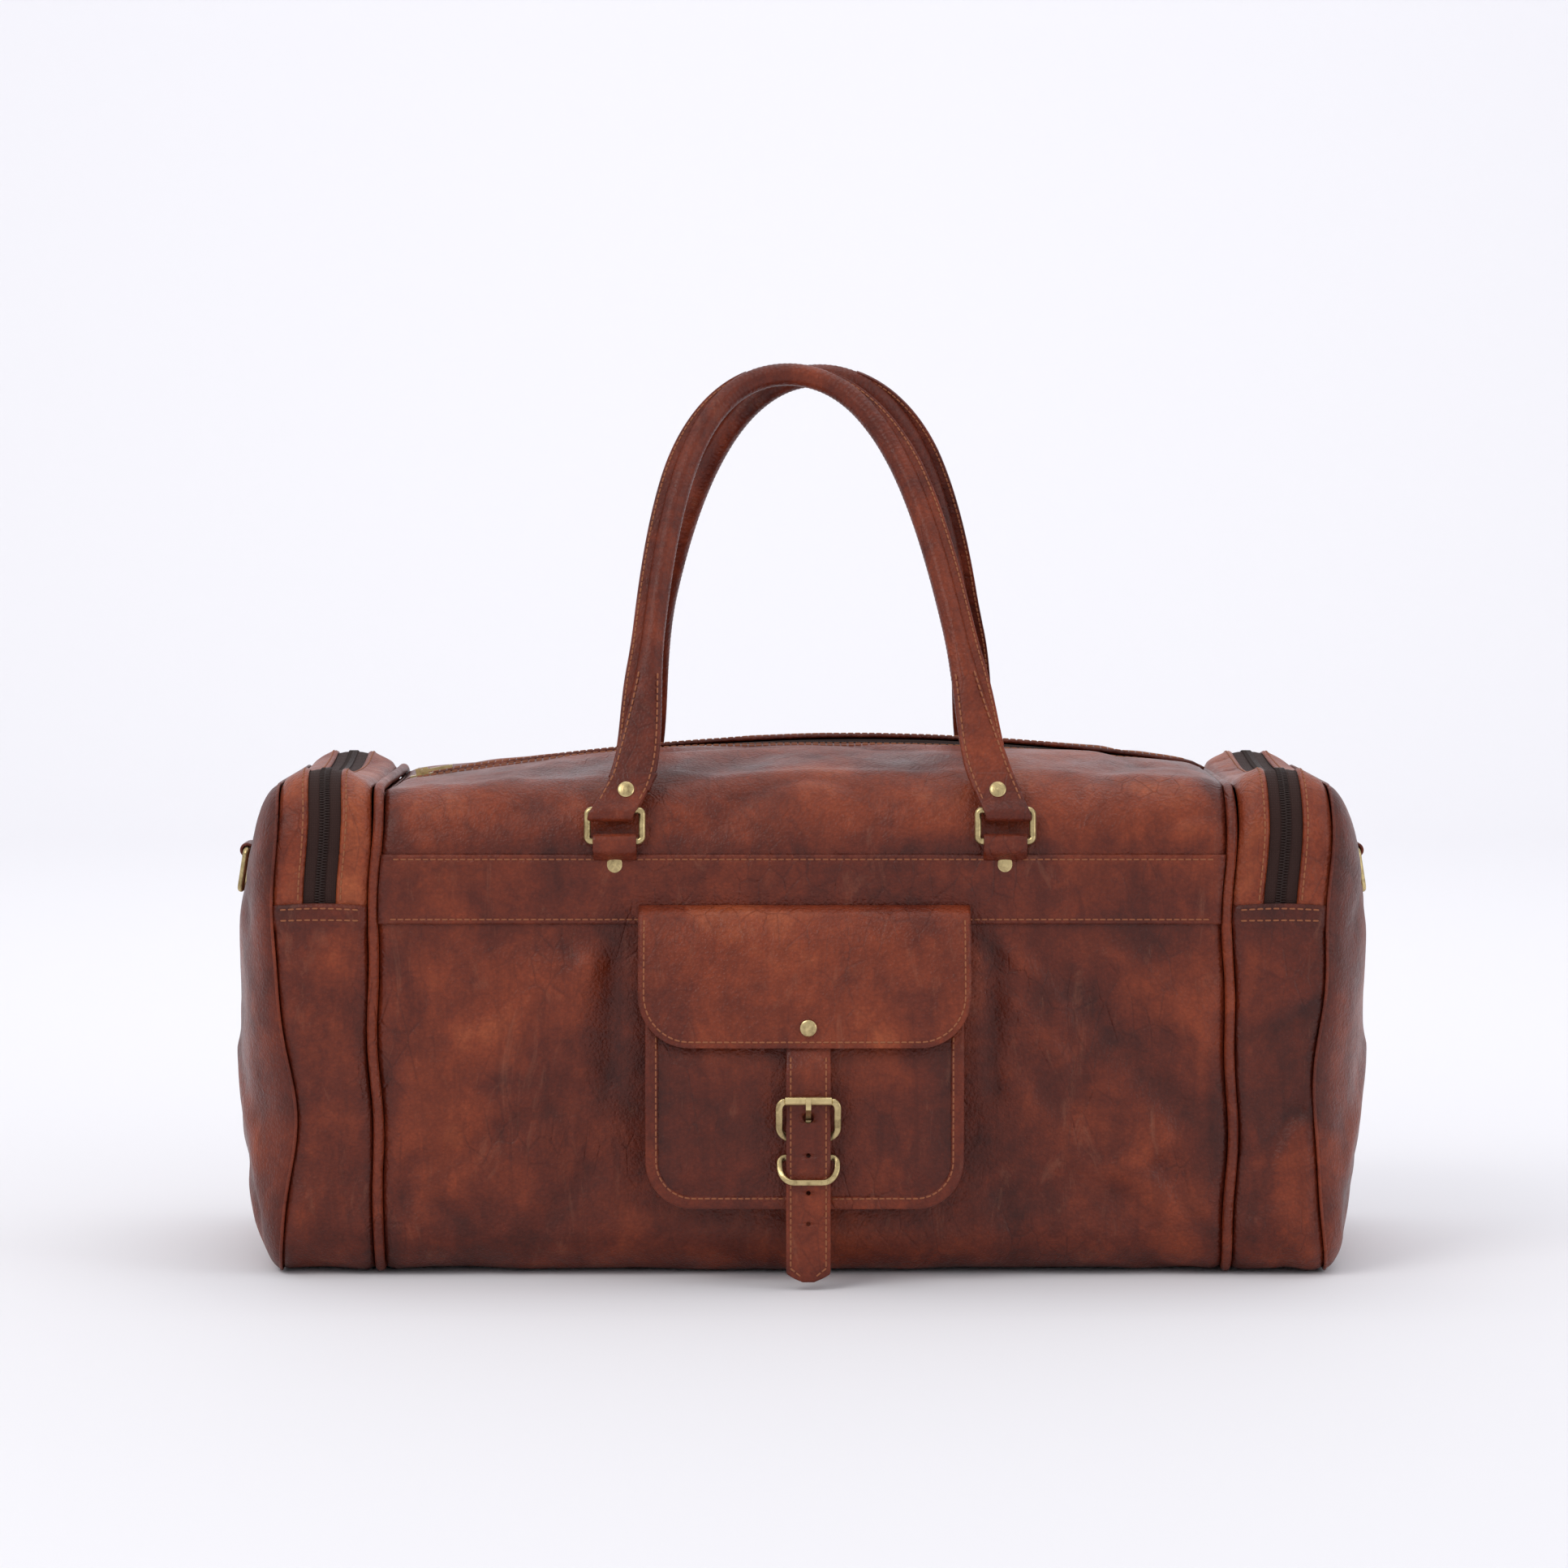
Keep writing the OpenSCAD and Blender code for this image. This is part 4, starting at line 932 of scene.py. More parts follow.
def lower_gusset(end, word):
    x = np.linspace(GUSSET_X, SEAM_X, 26)[None, :]
    last = 229
    s = np.linspace(0, LOWER.length, last + 1)[:, None]
    base = gusset_point(end, x, s, LOWER)
    to_back, to_front = s, LOWER.length - s
    near = np.minimum(x - GUSSET_X, SEAM_X - x)
    mask = smooth(near, 0, 9) * smooth(to_back, 0, 16) * smooth(to_front, 6, 22)
    z = base[..., 2]
    marks = dent(x + 0 * s, z, GUSSET_MARKS)
    p, n, tone = dress(base, mask, 130 + end, marks + 0.6, 1.7, 2.0, 0.35, 55)
    hem = 1.5 * (1 - smooth(to_front, 11, 13.5)) + 1.5 * (1 - smooth(to_back, 11, 13.5))
    tuck = 1.6 * (1 - smooth(near, 0, 4))
    p = p + n * (hem - tuck)[..., None]
    p[..., 2] += 1.4 * np.sin(np.pi * (x - GUSSET_X) / (SEAM_X - GUSSET_X)) * (1 - smooth(to_front, 0, 14))
    p[..., 2] = np.maximum(p[..., 2], 0.2)
    p = sag(p)
    n = outward(p)
    sheet(f"{word}_gusset_base", p, hide, "bag", nodes=(f"{word}_lower_gusset",), tone=tone - 0.1, thick=2)
    for gap in (2.6, 8.2):
        rows = gap * last / LOWER.length
        sew("bag", p[:, 2:-2], n[:, 2:-2], rows=[last - rows, rows])


END_MARKS = [(-96, 30, -30, 84, 10, -3.0), (-100, 62, -44, 116, 9, 2.4), (94, 28, 36, 80, 10, -3.0),
             (98, 70, 40, 122, 9, 2.2), (-60, 20, 52, 26, 9, 1.2), (-90, 196, -40, 236, 9, -2.0),
             (88, 204, 46, 236, 9, -2.0), (-28, 96, 34, 104, 15, 0.8)]


def end_face(share):
    """How far out an end panel stands at a share of the way from its middle to its seam."""
    return SEAM_X + 0.1 + SWELL * (1 - share ** 2.6) ** 0.6


def end_panel(end, word):
    y, z = outline_points(0, 0.0, 170)
    rim = 1 - 0.1 * (1 - np.linspace(0, 1, 15)[1:]) ** 2
    share = np.concatenate([np.linspace(0.03, 0.9, 34), rim])[:, None]
    yy, zz = y[None, :] * share, MID_Z + (z[None, :] - MID_Z) * share
    base = grid(end * end_face(share), yy, zz)
    tab = smooth(30 - np.abs(yy), 0, 14) * smooth(zz, 150, 166)
    mask = (1 - smooth(share, 0.8, 0.99)) * (1 - tab)
    away = np.zeros_like(base)
    away[..., 0] = end
    cloud = fbm(base, 85, 140 + end)
    fold = folds(base, 58, 150 + end)
    marks = dent(yy, zz, END_MARKS)
    low = 1 - smooth(zz, 20, 130)
    height = 1.6 * cloud + 0.25 * fbm(base, 18, 160, 2) - (1.0 + 1.2 * low) * fold + marks
    height = np.where(height > 2.5, 2.5 + 0.4 * (height - 2.5), height)
    p = base + away * (mask * height)[..., None]
    p[..., 2] = np.maximum(p[..., 2], 0.2)
    # painted highlight on the bulges and ridges, painted shade in the folds and dents and towards the rim
    tone = 0.1 * cloud - 0.18 * fold + 0.05 * marks - 0.14 * smooth(share, 0.9, 1.0)
    p = sag(p)
    closed_sheet(f"{word}_end_wall", p, hide, "bag", (end, 0, 0), tone=tone, nodes=(f"{word}_end_panel",))
    welt = Batch()
    path = p[-1] + np.array([end * 0.3, 0, 0])
    path[:, 2] = np.maximum(path[:, 2], 1.0)
    welt.tube(path, 0.95, 8, closed=True)
    welt.done(f"{word}_end_seam_welt", hide, "bag")


for end, word in ((-1, "left"), (1, "right")):
    end_pocket(end, word)

# ---- Straps and loops ----------------------------------------------------------------------


def flat_section(width, thick, sides=28, sharp=0.22):
    """A flat strap's section with soft corners, as (across, out) points."""
    a = np.linspace(0, 2 * math.pi, sides, endpoint=False) + math.pi / sides
    c, s = np.cos(a), np.sin(a)
    across, out = np.sign(c) * np.abs(c) ** sharp, np.sign(s) * np.abs(s) ** 0.45
    return np.stack([across * width / 2, out * thick / 2], axis=-1)


def loft(batch, centres, across, out, sections):
    """Adds a solid skinned over sections at the centres, capped at both ends."""
    verts = centres[:, None] + across[:, None] * sections[..., 0:1] + out[:, None] * sections[..., 1:2]
    batch.add(verts.reshape(-1, 3), skin_faces(*verts.shape[:2]))


def resample(path, step):
    path = np.asarray(path, float)
    s = arc_length(path)
    return along(np.linspace(0, s[-1], max(3, int(s[-1] / step) + 1)), s, path)


def soften(path, rounds=2):
    """Rounds the corners of a path by cutting them."""
    path = np.asarray(path, float)
    for _ in range(rounds):
        mid = np.stack([0.75 * path[:-1] + 0.25 * path[1:], 0.25 * path[:-1] + 0.75 * path[1:]], axis=1)
        path = np.concatenate([path[:1], mid.reshape(-1, path.shape[1])[1:-1], path[-1:]])
    return path


def strap(batch, path, across, width, thick, step=1.2):
    """A flat strap along a path, lying across a fixed direction; gives its path and outward directions."""
    path = resample(path, step)
    across = np.asarray(across, float)
    out = unit(np.cross(tangents(path), across))
    sections = np.tile(flat_section(width, thick), (len(path), 1, 1))
    loft(batch, path, np.tile(across, (len(path), 1)), out, sections)
    return path, out


RING_Y, RING_Z, LOOP_R = -123.25, 239.5, 3.3        # lower bar of a front ring, and the leather round it
LEAN = math.radians(25)                            # how far the handles lean inwards
BAR_Y, BAR_Z = -120.884, 256.335                   # upper bar of a front ring
END_BAR = (314.5, 226.0)                           # x and z of the bar of an end ring


def ring_tabs(side, word):
    batch = Batch()
    for hand in (-1, 1):
        x = HANDLE_X + hand * RING_X
        path = [(-118.6, 214), (-118.65, 230), (-118.9, 234)] + arc(RING_Y, RING_Z, LOOP_R, 0, 200, 12)
        path = soften(path + [(-125.4, 234.6), (-122.4, 232.0), (-119.6, 229.6)], 1)
        points = [(x, -side * y, z) for y, z in path]
        strap(batch, points, (1.0, 0, 0), 23.6, 1.9, 0.8)
    batch.done(f"{word}_tab_loops", strap_hide, "bag", nodes=(f"{word}_ring_tabs",), slot="dark_leather")


def end_tab(end, word):
    batch = Batch()
    lying = [(end * (end_face(share) + 1.25), 0, MID_Z * (1 + share))
             for share in np.linspace(0.27, 0.68, 24)]
    path, out = strap(batch, lying, (0, 1.0, 0), 24, 2.2)
    out = out * np.sign(out[:, :1] * end)
    loop = [(end * x, 0, z) for x, z in arc(*END_BAR, LOOP_R, -200, 140, 12)]
    strap(batch, loop, (0, 1.0, 0), 23.8, 2.0, 0.8)
    batch.done(f"{word}_ring_patch", strap_hide, "bag", nodes=(f"{word}_ring_tab",), slot="dark_leather")
    sewn = 9.2                                      # the stitching's distance from the tab's middle
    for offset in (-sewn, sewn):
        stitch("bag", path[2:-8] + np.array([0, offset, 0]) + out[2:-8] * 1.1, out[2:-8], lift=0.05)
    foot = grid(path[1, 0], np.linspace(-sewn, sewn, 9), path[1, 2] + 1.6)
    stitch("bag", foot + out[1] * 1.1, np.tile(out[1], (9, 1)), lift=0.05)


for side, word in ((-1, "front"), (1, "rear")):
    ring_tabs(side, word)
for end, word in ((-1, "left"), (1, "right")):
    end_tab(end, word)

# ---- Handles ---------------------------------------------------------------------------------

STRAP_W, GRIP_D, FOLD_H = 24.0, 12.6, 15.0          # strap's width, rolled grip's diameter, height of a fold
FOLD_T = 5.0                                       # thickness where the strap is folded double
LEAF_T, LEAF_OUT = 2.5, 1.32                        # each leaf of a fold, and how far its middle stands out
WELT_W = 5.2                                       # widest part of the sewn edge along a grip
CORD_R, CORD_OUT, CORD_LAY = 1.75, 1.8, 4.2         # filling cords, their twist's radius and its length
HANDLE_TOP_Z = 501.0
HANDLE_LEN = (HANDLE_TOP_Z - GRIP_D / 2 - BAR_Z) / math.cos(LEAN)
UP = np.array([0, math.sin(LEAN), math.cos(LEAN)])
OUT = np.array([0, -math.cos(LEAN), math.sin(LEAN)])
FOLD_SLOPE = {-1: 0.5, 1: -0.37}                    # sideways lean of the left and right ends above the rings


def bezier(points, t):
    a, b, c, d = [np.array(q, float) for q in points]
    t = t[:, None]
    return (1 - t) ** 3 * a + 3 * t * (1 - t) ** 2 * b + 3 * t * t * (1 - t) * c + t ** 3 * d


def handle_line(top_x, arch, draw, at, count=340):
    """The middle line of a handle from its left ring to its right one, as (x, up) points, with its share."""
    t = np.linspace(0, 1, count)
    left, right = (bezier([(HANDLE_X + hand * RING_X + FOLD_SLOPE[hand] * FOLD_H, FOLD_H),
                           (HANDLE_X + hand * (RING_X - draw), at),
                           (top_x + hand * arch, HANDLE_LEN), (top_x, HANDLE_LEN)], t) for hand in (-1, 1))
    return np.concatenate([left, right[::-1][1:]]), np.concatenate([t, t[::-1][1:]])


def in_plane(points, side):
    """From (x, up, out) in a handle's leaning plane to the bag, side -1 at the front."""
    points = np.asarray(points, float)
    p = points[..., 0:1] * np.array([1.0, 0, 0]) + points[..., 1:2] * UP + points[..., 2:3] * OUT
    p = p + np.array([0, BAR_Y, BAR_Z])
    p[..., 1] *= -side
    return p


class Handle:
    """A carrying handle: flat ends folded round their rings, and a rolled grip with a sewn welt."""

    def __init__(self, side, word, shape):
        self.side, self.word, self.body = side, word, f"{word}_carry_handle"
        self.line, self.share = handle_line(*shape)
        d = tangents(self.line)
        self.n = np.stack([-d[:, 1], d[:, 0]], axis=-1)          # towards the outside of the arch
        self.roll = smooth(self.share, 0.06, 0.36)[:, None]      # 0 at the flat ends, 1 on the round grip
        self.half_w = (STRAP_W + (GRIP_D - STRAP_W) * self.roll) / 2
        self.half_h = (FOLD_T + (GRIP_D - FOLD_T) * self.roll) / 2
        self.length = arc_length(self.line)
        self.left = np.arange(len(self.line)) < len(self.line) / 2
        self.face = in_plane([0, 0, 1], side) - in_plane([0, 0, 0], side)
        self.batch = Batch()

    def lifted(self, points, out):
        """(x, up) points at a distance out from the handle's plane, in the bag's frame."""
        return in_plane(np.column_stack([points, np.broadcast_to(out, len(points))]), self.side)

    def turned(self, directions):
        return self.lifted(directions, 0) - in_plane([0, 0, 0], self.side)

    def grip(self):
        """The rolled leather, with a fine rib and a groove along its seam."""
        a = np.linspace(0, 2 * math.pi, 36, endpoint=False) + math.pi / 36
        c, s = np.cos(a)[None, :], np.sin(a)[None, :]
        blunt = 0.3 + 0.7 * self.roll
        rib = 0.10 * np.sin(self.length * 2 * math.pi / 2.7)[:, None] * self.roll
        groove = 1 - 0.06 * bell(np.cos(a - 2.2), 1, 0.02) * self.roll
        grow = (1 + rib / (GRIP_D / 2)) * groove
        across = np.sign(c) * np.abs(c) ** blunt * self.half_w * grow
        out = np.sign(s) * np.abs(s) ** blunt * self.half_h * grow
        middle, n = self.line[:, None], self.n[:, None]
        flat = np.concatenate([middle + n * across[..., None], out[..., None]], axis=-1)
        flat[..., 2] += 0.22 * fbm(in_plane(flat, self.side), 16, 200 + self.side, 2) * self.roll
        verts = in_plane(flat, self.side)
        self.batch.add(verts.reshape(-1, 3), skin_faces(*verts.shape[:2]))

    def welt(self):
        """The sewn edge along the outside of the grip, on each half of the arch."""
        reach = WELT_W * smooth(self.share, 0.07, 0.28) * (1 - smooth(self.share, 0.62, 0.97))
        for half in (self.left, ~self.left):
            pick = np.where((reach > 0.4) & half)[0]
            inner = self.line[pick] + self.n[pick] * (self.half_w[pick] - 1.2)
            outer = self.line[pick] + self.n[pick] * (self.half_w[pick] + reach[pick, None])
            width = np.linalg.norm(outer - inner, axis=1)
            centres, way = self.lifted((inner + outer) / 2, 0.6), self.turned(self.n[pick])
            sections = flat_section(1, 1)[None] * np.stack([width, np.full(len(pick), 2.6)], axis=-1)[:, None]
            loft(self.batch, centres, way, np.tile(self.face, (len(pick), 1)), sections)
            for face in (self.face, -self.face):
                row = centres + way * (width / 2 - 1.7)[:, None] + face * 1.3
                stitch(self.body, row, np.tile(face, (len(row), 1)), 3.4, 2.5, 0.05)

    def ends(self):
        """The ends folded round the rings, and the stitches up their edges."""
        for hand in (-1, 1):
            x, slope = HANDLE_X + hand * RING_X, FOLD_SLOPE[hand]
            loop = [(LEAF_OUT, 21), (LEAF_OUT, 6)] + arc(0, -1.8, LOOP_R, 20, -200, 12)
            loop += [(-LEAF_OUT, 6), (-LEAF_OUT, 21)]
            fold = in_plane([(x + slope * up, up, out) for out, up in soften(loop, 1)], self.side)
            strap(self.batch, fold, (1.0, 0, 0), STRAP_W + 0.8, LEAF_T, 0.8)
            pick = np.where((self.share < 0.27) & (self.left == (hand < 0)))[0][::-hand]
            for edge in (-1, 1):
                row = self.line[pick] + edge * self.n[pick] * (self.half_w[pick] - 2.4)
                foot = [row[0, 0] - slope * (row[0, 1] - 5.0), 5.0]
                foot_out = LEAF_OUT + LEAF_T / 2 + 0.05
                points = self.lifted(np.vstack([foot, row]), np.append(foot_out, self.half_h[pick, 0]))
                stitch(self.body, points, np.tile(self.face, (len(points), 1)), lift=0.02)

    def core(self):
        """Three twisted cords inside the grip."""
        middle = slice(150, -150)
        axis, way = self.lifted(self.line, 0)[middle], self.turned(self.n)[middle]
        strands = Batch()
        for k in range(3):
            turn = self.length[middle, None] / CORD_LAY + 2 * math.pi * k / 3
            strands.tube(axis + CORD_OUT * (way * np.cos(turn) + self.face * np.sin(turn)), CORD_R, 8)
        strands.done(f"{self.word}_grip_filling", filling, self.body, nodes=(f"{self.word}_handle_core",),
                     slot="cord_filling")

    def build(self):
        self.grip()
        self.welt()
        self.ends()
        self.batch.done(f"{self.word}_grip", strap_hide, self.body, nodes=(f"{self.word}_handle",))
        self.core()


Handle(-1, "front", (-8, 84, 26, 62)).build()
Handle(1, "rear", (10, 74, 16, 100)).build()

# ---- Front pocket ------------------------------------------------------------------------------

BINDING_W = 7.0
STRAP_X = 3.0
HANGING_Y = -155.95                                # where the flap's strap hangs straight
STRAP_HOLES = ((93.0, 3.0), (72.7, 1.25), (52.4, 1.25), (35.7, 1.25))     # height and radius of each
BUCKLE_ROOT_Y = -151.6                             # where the buckle and the keeper are held


def pocket_depth(z):
    """How far the front of the pocket stands off the bag at a height."""
    return 28 - 15 * np.clip((z - KNEE_Z) / (POCKET_Z1 - KNEE_Z), 0, 1)


def pocket_point(x, z, out=0.0):
    """A point of the pocket's soft front, which puffs out beside the strap and sinks towards its rim."""
    side = smooth(np.abs(x - STRAP_X), 13, 34)
    rim = np.minimum(POCKET_HALF - np.abs(x - POCKET_X), z - POCKET_Z0)
    puff = side * smooth(rim, 6, 26) * (1 - smooth(z, 122, 150))
    cloud = fbm(grid(x, 0 * x, z), 58, 301)
    height = puff * (1.5 + 0.9 * cloud) + 0.25 * cloud * side
    return grid(x, -HALF_D - pocket_depth(z) - height - out, z)


def rounded_grid(half, z0, z1, r, rows, cols, middle):
    """x and z of a grid that fills a rounded U, from its bottom to its top."""
    low = np.linspace(0, 1, rows // 3)[:, None] ** 1.6 * r
    z = np.concatenate([z0 + low, np.linspace(z0 + r, z1, rows)[1:, None]])
    dip = np.clip(z0 + r - z, 0, r)
    width = half - r + np.sqrt(np.clip(r * r - dip * dip, 0, None))
    return middle + width * np.linspace(-1, 1, cols)[None, :], np.broadcast_to(z, (len(z), cols))


def u_path(half, z0, z1, r, middle, step=1.2):
    """A rounded U as (x, z) points from the upper left round to the upper right."""
    points = [(middle - half, z1)]
    points += arc(middle - half + r, z0 + r, r, 180, 270, 4)
    points += arc(middle + half - r, z0 + r, r, 270, 360, 4) + [(middle + half, z1)]
    return resample(points, step)


def inward(path):
    """Directions to the left of a path of (x, z) points, in the plane of the pocket's front."""
    d = tangents(path)
    return grid(-d[:, 1], 0.0, d[:, 0])


def pocket_face():
    x, z = rounded_grid(POCKET_HALF - 5.5, POCKET_Z0 + 5.5, POCKET_Z1, POCKET_R - 5.5, 66, 84, POCKET_X)
    p = pocket_point(x, z)
    tone = 0.14 * fbm(p, 40, 305) - 0.10 * (1 - smooth(POCKET_HALF - np.abs(x - POCKET_X), 4, 20)) - 0.16
    sheet("pocket_face", p, hide, "bag", (0, -60, 120), nodes=("pocket_front",), slot="dark_leather",
          tone=tone, thick=1.8)


def pocket_rim():
    inset = 3.4
    path = u_path(POCKET_HALF - inset, POCKET_Z0 + inset, POCKET_Z1, POCKET_R - inset, POCKET_X)
    x, z = path.T
    wave = 0.35 * fbm(grid(x, 0.0, z), 26, 307)
    centre = grid(x, -HALF_D - pocket_depth(z) + 0.75 - wave, z)
    across = inward(path)
    out = np.tile([0.0, -1.0, 0.0], (len(path), 1))
    rim = Batch()
    loft(rim, centre, across, out, np.tile(flat_section(BINDING_W, 3.6, 28, 0.4), (len(path), 1, 1)))
    rim.done("pocket_rim", hide, "bag", nodes=("pocket_binding",), slot="dark_leather")
    stitch("bag", centre + across * 2.3 + out * 1.62, out, 3.6, 2.6, 0.02)


def pocket_side_wall():
    inset = 3.6
    path = u_path(POCKET_HALF - inset, POCKET_Z0 + inset, POCKET_Z1 - 4, POCKET_R - inset, POCKET_X, 2.2)
    across = inward(path)[:, None]
    x, z = path[:, :1], path[:, 1:]
    depth = np.linspace(0, 1, 14)[None, :]
    belly = np.sin(np.pi * depth) * (1.2 + 0.8 * np.sin(z / 17))
    p = grid(x, -HALF_D - 0.15 - (pocket_depth(z) - 3.0) * depth, z) - across * belly[..., None]
    fold = folds(p, 26, 311)
    p = p + across * (0.9 * fold * np.sin(np.pi * depth))[..., None]
    # painted shade in the folds; darker overall
    sheet("pocket_side_wall", p, hide, "bag", (POCKET_X, -130, 125), nodes=("pocket_gusset",),
          tone=-0.2 * fold - 0.1, thick=1.6)


# (y, z) from where the flap is sewn on, over its bend and down its front
FLAP_PATH = soften([(-120.1, 198.5), (-120.2, 203.2), (-121.0, 204.9), (-124.5, 204.6), (-135.0, 199.6),
                    (-143.9, 165.0), (-151.2, 137.0), (-152.4, 126.0)], 3)
FLAP_BEND = ("bag", (0, -120.4, 203), (0, -124.5, 203))


def flap_point(x, z):
    """A point of the flap's outer face over the pocket."""
    order = FLAP_PATH[FLAP_PATH[:, 1].argmax():]
    y = np.interp(-z, -order[:, 1], order[:, 0])
    over_strap = smooth(np.abs(x - STRAP_X), 11, 26)
    cloud = fbm(grid(x, 0 * x, z), 62, 321)
    bow = 1.3 * np.cos(np.pi * (x - POCKET_X) / 2.1 / FLAP_HALF)
    bow = bow * smooth(z, 132, 160) * (1 - smooth(z, 184, 200))
    curl = 1.3 * smooth(np.abs(x - POCKET_X), 62, 90) * (1 - smooth(z, 130, 168))
    creased = 0.55 * cloud * over_strap * (1 - smooth(z, 190, 202))
    return grid(x, y - bow - creased + curl, z)


def flap():
    top = FLAP_PATH[: FLAP_PATH[:, 1].argmax() + 1]
    x, z = rounded_grid(FLAP_HALF, FLAP_Z0, FLAP_PATH[:, 1].max() - 0.01, FLAP_R, 60, 90, POCKET_X)
    main = flap_point(x, z)
    tail = grid(x[-1][None, :], top[::-1, :1], top[::-1, 1:])
    p = np.concatenate([main, tail[1:]])
    edge = np.minimum(FLAP_HALF - np.abs(p[..., 0] - POCKET_X), p[..., 2] - FLAP_Z0)
    tone = 0.13 * fbm(p, 42, 325) - 0.12 * (1 - smooth(edge, 0, 3)) + 0.05
    tone = tone + 0.10 * bell(p[..., 2], 201, 3)
    sheet("pocket_flap_cover", p, hide, "pocket_closure", (0, -100, 150), nodes=("pocket_flap",),
          tone=tone, thick=2.0, rim=edge_hide, blend=FLAP_BEND)
    inset = 3.2
    path = u_path(FLAP_HALF - inset, FLAP_Z0 + inset, 198, FLAP_R - inset, POCKET_X)
    on = flap_point(path[:, 0], path[:, 1])
    stitch("pocket_closure", on, np.tile([0.0, -1.0, 0.22], (len(on), 1)), 3.8, 2.7, 0.05)


def cut(obj, cutters):
    """Cuts closed shapes out of an object's mesh."""
    tool = cutters.done("cutter", edge_hide, "bag")
    step = obj.modifiers.new("cut", "BOOLEAN")
    step.object = tool
    step.operation = "DIFFERENCE"
    step.solver = "EXACT"
    graph = bpy.context.evaluated_depsgraph_get()
    mesh = bpy.data.meshes.new_from_object(obj.evaluated_get(graph))
    obj.modifiers.clear()
    obj.data = mesh
    bpy.data.objects.remove(tool)


def closure_strap():
    """The flap's strap: from under the flap, through the buckle, down to its point."""
    w, t = STRAP_W / 2, 2.4
    path = soften([(-146.2, 155), (-148.3, 139), (-148.4, 131), (-149.6, 126.5), (-154.8, 119.5),
                   (HANGING_Y, 114), (HANGING_Y, 100)], 2)
    path = np.concatenate([resample(path, 1.5), [(HANGING_Y, z) for z in np.arange(98.5, 3.4, -1.5)]])
    y, z = path[:, 0], path[:, 1]
    y = y - 0.25 * np.sin(z / 21) * smooth(60 - z, 0, 20)
    width = np.where(z < 9, w - 3 * smooth(9 - z, 0, 3), w)
    width = width * np.where(z < 6.4, np.clip((z - 2.6) / 3.8, 0.02, 1), 1)      # the strap's point
    centres = grid(STRAP_X, y, z)
    out = np.cross(np.array([1.0, 0, 0]), tangents(centres))
    out *= -np.sign(out[:, 1:2])
    section = flat_section(1, 1, 30, 0.2)[None] * np.stack([2 * width, np.full_like(z, t)], axis=-1)[:, None]
    batch = Batch()
    loft(batch, centres, np.tile([1.0, 0, 0], (len(z), 1)), out, section)
    obj = batch.done("flap_closing_strap", strap_hide, "pocket_closure", nodes=("flap_strap",),
                     slot="dark_leather")
    holes = Batch()
    for height, r in STRAP_HOLES:
        holes.tube([(STRAP_X, -150.5, height), (STRAP_X, -162, height)], r, 20)
    cut(obj, holes)
    for hand in (-1, 1):
        pick = (z > 10) & (z < 126)
        row = centres[pick] + np.array([hand * (w - 2.5), 0, 0]) + out[pick] * t / 2
        end = row[-1] + np.array([-hand * 5.5, 0, -4.5])
        turns = np.concatenate([out[pick], out[pick][-1:]])
        stitch("pocket_closure", np.concatenate([row, end[None]]), turns, 3.8, 2.7, 0.02)


def chape():
    """The short doubled strap behind the flap strap that holds the buckle and the keeper."""
    batch = Batch()
    strap(batch, [(STRAP_X, -149.6, z) for z in (47, 60, 74, 84)], (1.0, 0, 0), 20, 2.0)
    for height in (82.0, 71.0):
        split = height > 80                         # the tongue passes between the halves of the upper loop
        for x0, x1 in ((-10, -2.1), (2.1, 10)) if split else ((-10, 10),):
            turn = arc(BUCKLE_ROOT_Y, height, 2.42, 60, -240, 12)
            loop = [(STRAP_X + (x0 + x1) / 2, y, z) for y, z in turn]
            strap(batch, loop, (1.0, 0, 0), x1 - x0, 1.15, 0.5)
    batch.done("buckle_chape_strap", strap_hide, "pocket_closure", nodes=("buckle_chape",),
               slot="dark_leather")


PIN_D = 2.3                                        # the buckle's bar, inside its roller


def cast_loop(points, width, depth, name, body, node, pin=None):
    """A cast metal loop of oval section through closed points; between pin's ends it thins to a pin."""
    path = resample(list(points) + [points[0]], 0.7)[:-1]
    d = loop_tangents(path)
    face = unit(np.cross(d, np.array([0.0, 1.0, 0.0])))
    out = np.cross(face, d)
    thin = np.zeros(len(path))
    if pin:
        thin = (1 - smooth(np.abs(path[:, 0] - STRAP_X), pin[0] - 1, pin[0])) * (path[:, 2] > pin[1])
    size = np.stack([width + (PIN_D - width) * thin, depth + (PIN_D - depth) * thin], axis=-1)[:, None]
    verts = flat_section(1, 1, 20, 0.62)[None] * size
    verts = path[:, None] + face[:, None] * verts[..., :1] + out[:, None] * verts[..., 1:]
    faces = skin_faces(*verts.shape[:2], True)
    piece(name, verts.reshape(-1, 3), faces, brass, body, nodes=(node,), slot="brass")


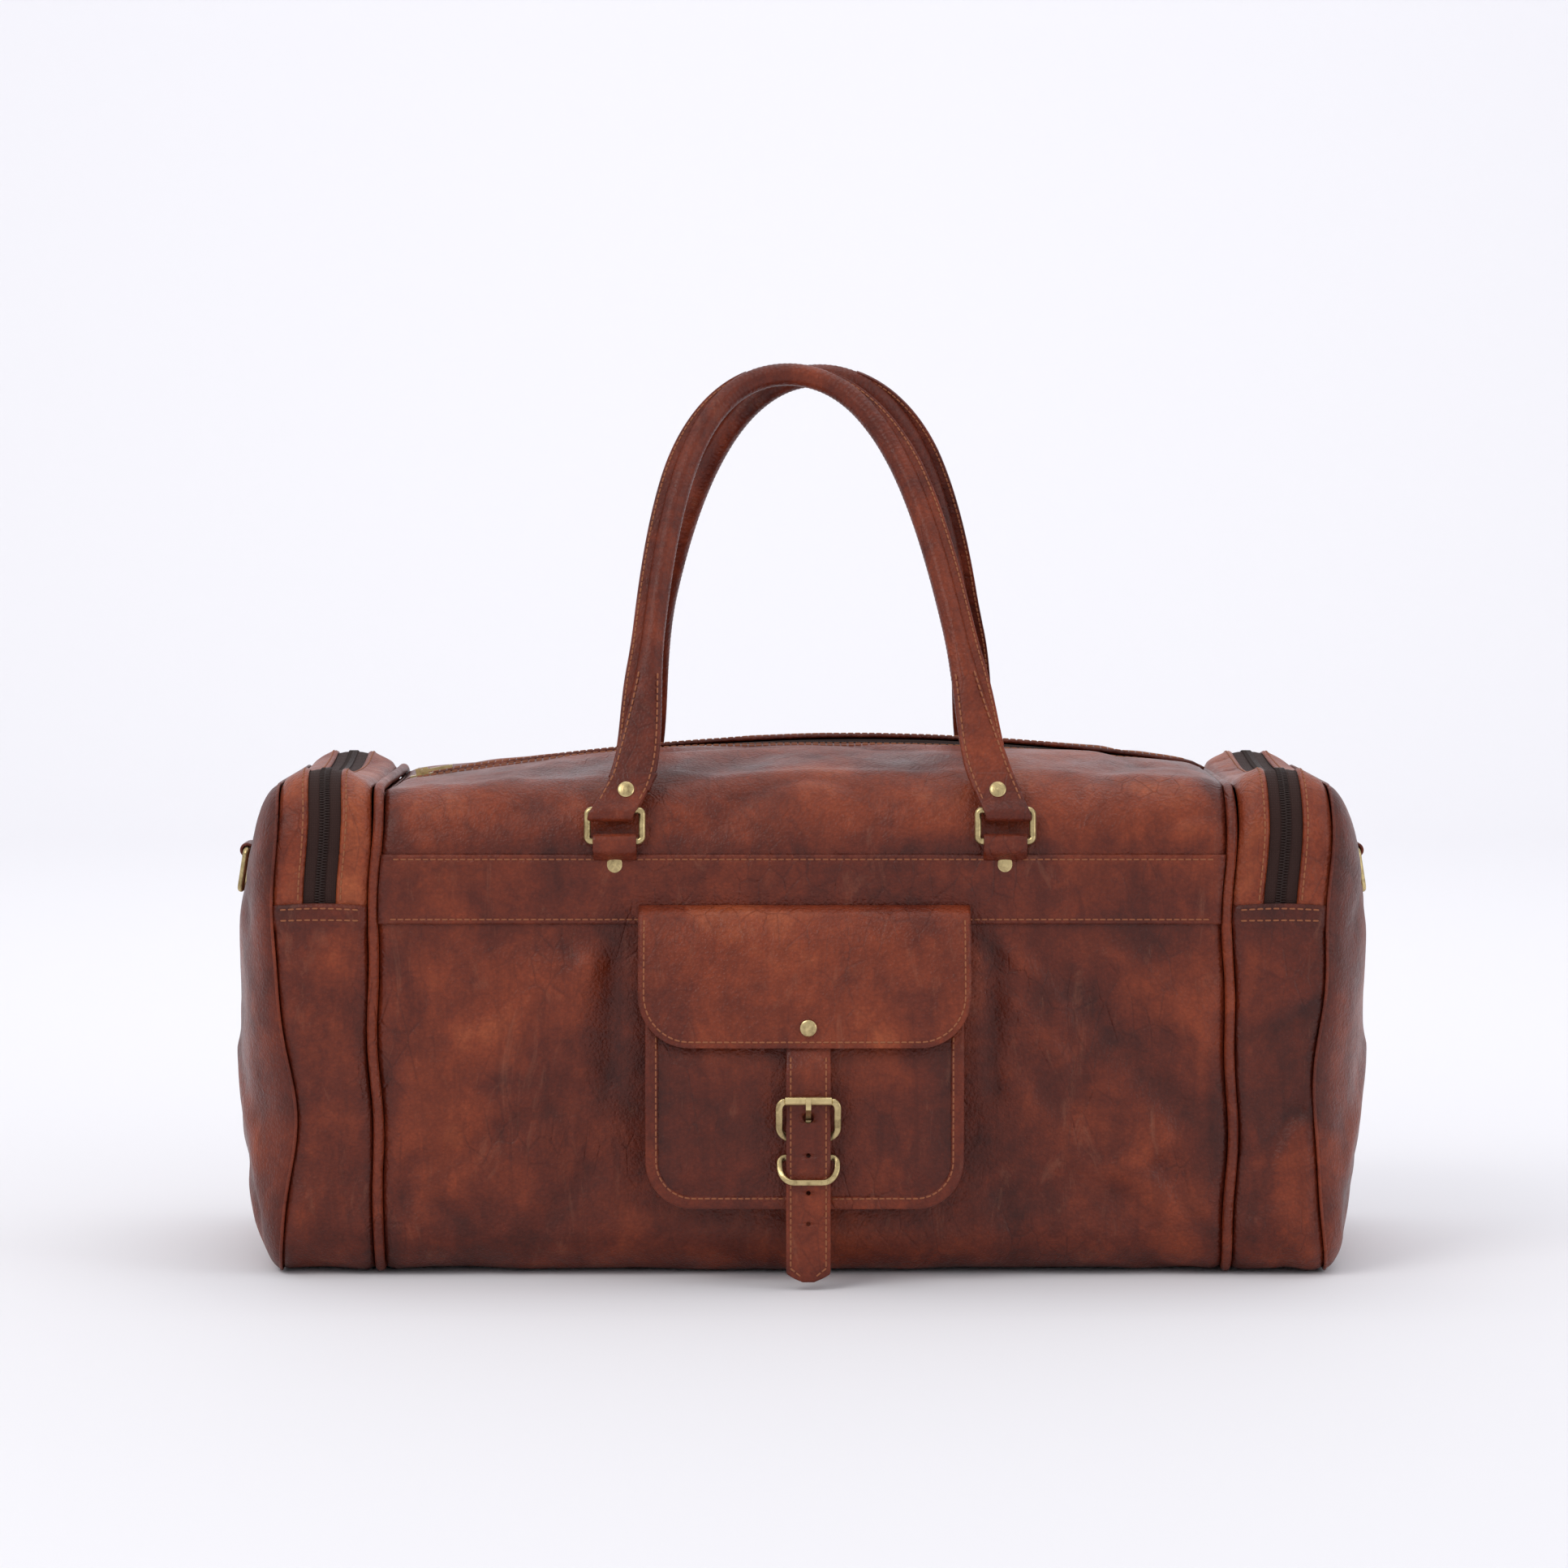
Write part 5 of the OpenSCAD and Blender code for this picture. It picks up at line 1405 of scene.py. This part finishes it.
def rounded_loop(half, top, bottom, r_top, r_bottom, depth_at):
    """A rounded rectangle in front of the bag, its depth given by height."""
    flat = arc(-half + r_bottom, bottom + r_bottom, r_bottom, 180, 270, 10)
    flat += arc(half - r_bottom, bottom + r_bottom, r_bottom, 270, 360, 10)
    flat += arc(half - r_top, top - r_top, r_top, 0, 90, 10)
    flat += arc(-half + r_top, top - r_top, r_top, 90, 180, 10)
    return [(STRAP_X + x, depth_at(z), z) for x, z in flat]


def buckle():
    outline = rounded_loop(15.7, 102.5, 81.4, 4.0, 6.5,
                           lambda z: float(np.interp(z, (82, 99), (BUCKLE_ROOT_Y, -159.75))))
    cast_loop(outline, 3.9, 3.3, "buckle_cast_frame", "pocket_closure", "buckle_frame", (13.2, 98))
    tilt = math.tan(math.radians(36))
    ring = rounded_loop(15.5, 71.0, 58.6, 3.0, 8.0, lambda z: BUCKLE_ROOT_Y - (71.0 - z) * tilt)
    cast_loop(ring, 3.2, 3.0, "keeper_cast_ring", "keeper", "keeper_ring")


pocket_face()
pocket_rim()
pocket_side_wall()
flap()
closure_strap()
chape()
buckle()

# ---- Fittings and stitches ------------------------------------------------------------------------

BRASS_NODES = ("front_rings", "rear_rings", "front_handle_rivets", "rear_handle_rivets", "tab_rivets",
               "flap_rivet", "buckle_roller", "buckle_tongue", "snap_stud", "snap_socket",
               "main_slider", "main_pull", "left_slider", "right_slider", "left_pull", "right_pull",
               "left_d_ring", "right_d_ring")


def finish_node(node, mat, bevel=0.0):
    """Gives a carried-over CAD node its material, and softens its edges."""
    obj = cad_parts[node]
    obj.data.materials.clear()
    obj.data.materials.append(mat)
    if bevel:
        edges = obj.modifiers.new("worn_edges", "BEVEL")
        edges.width = bevel * MM
        edges.segments = 2
        edges.limit_method = "ANGLE"
        edges.angle_limit = math.radians(40)
        edges.harden_normals = False


for node in BRASS_NODES:
    finish_node(node, brass, 0.25)
finish_node("base_board", board_mat, 0.5)
for body, batch in stitches.items():
    batch.done(f"stitches_{body}", thread, body)
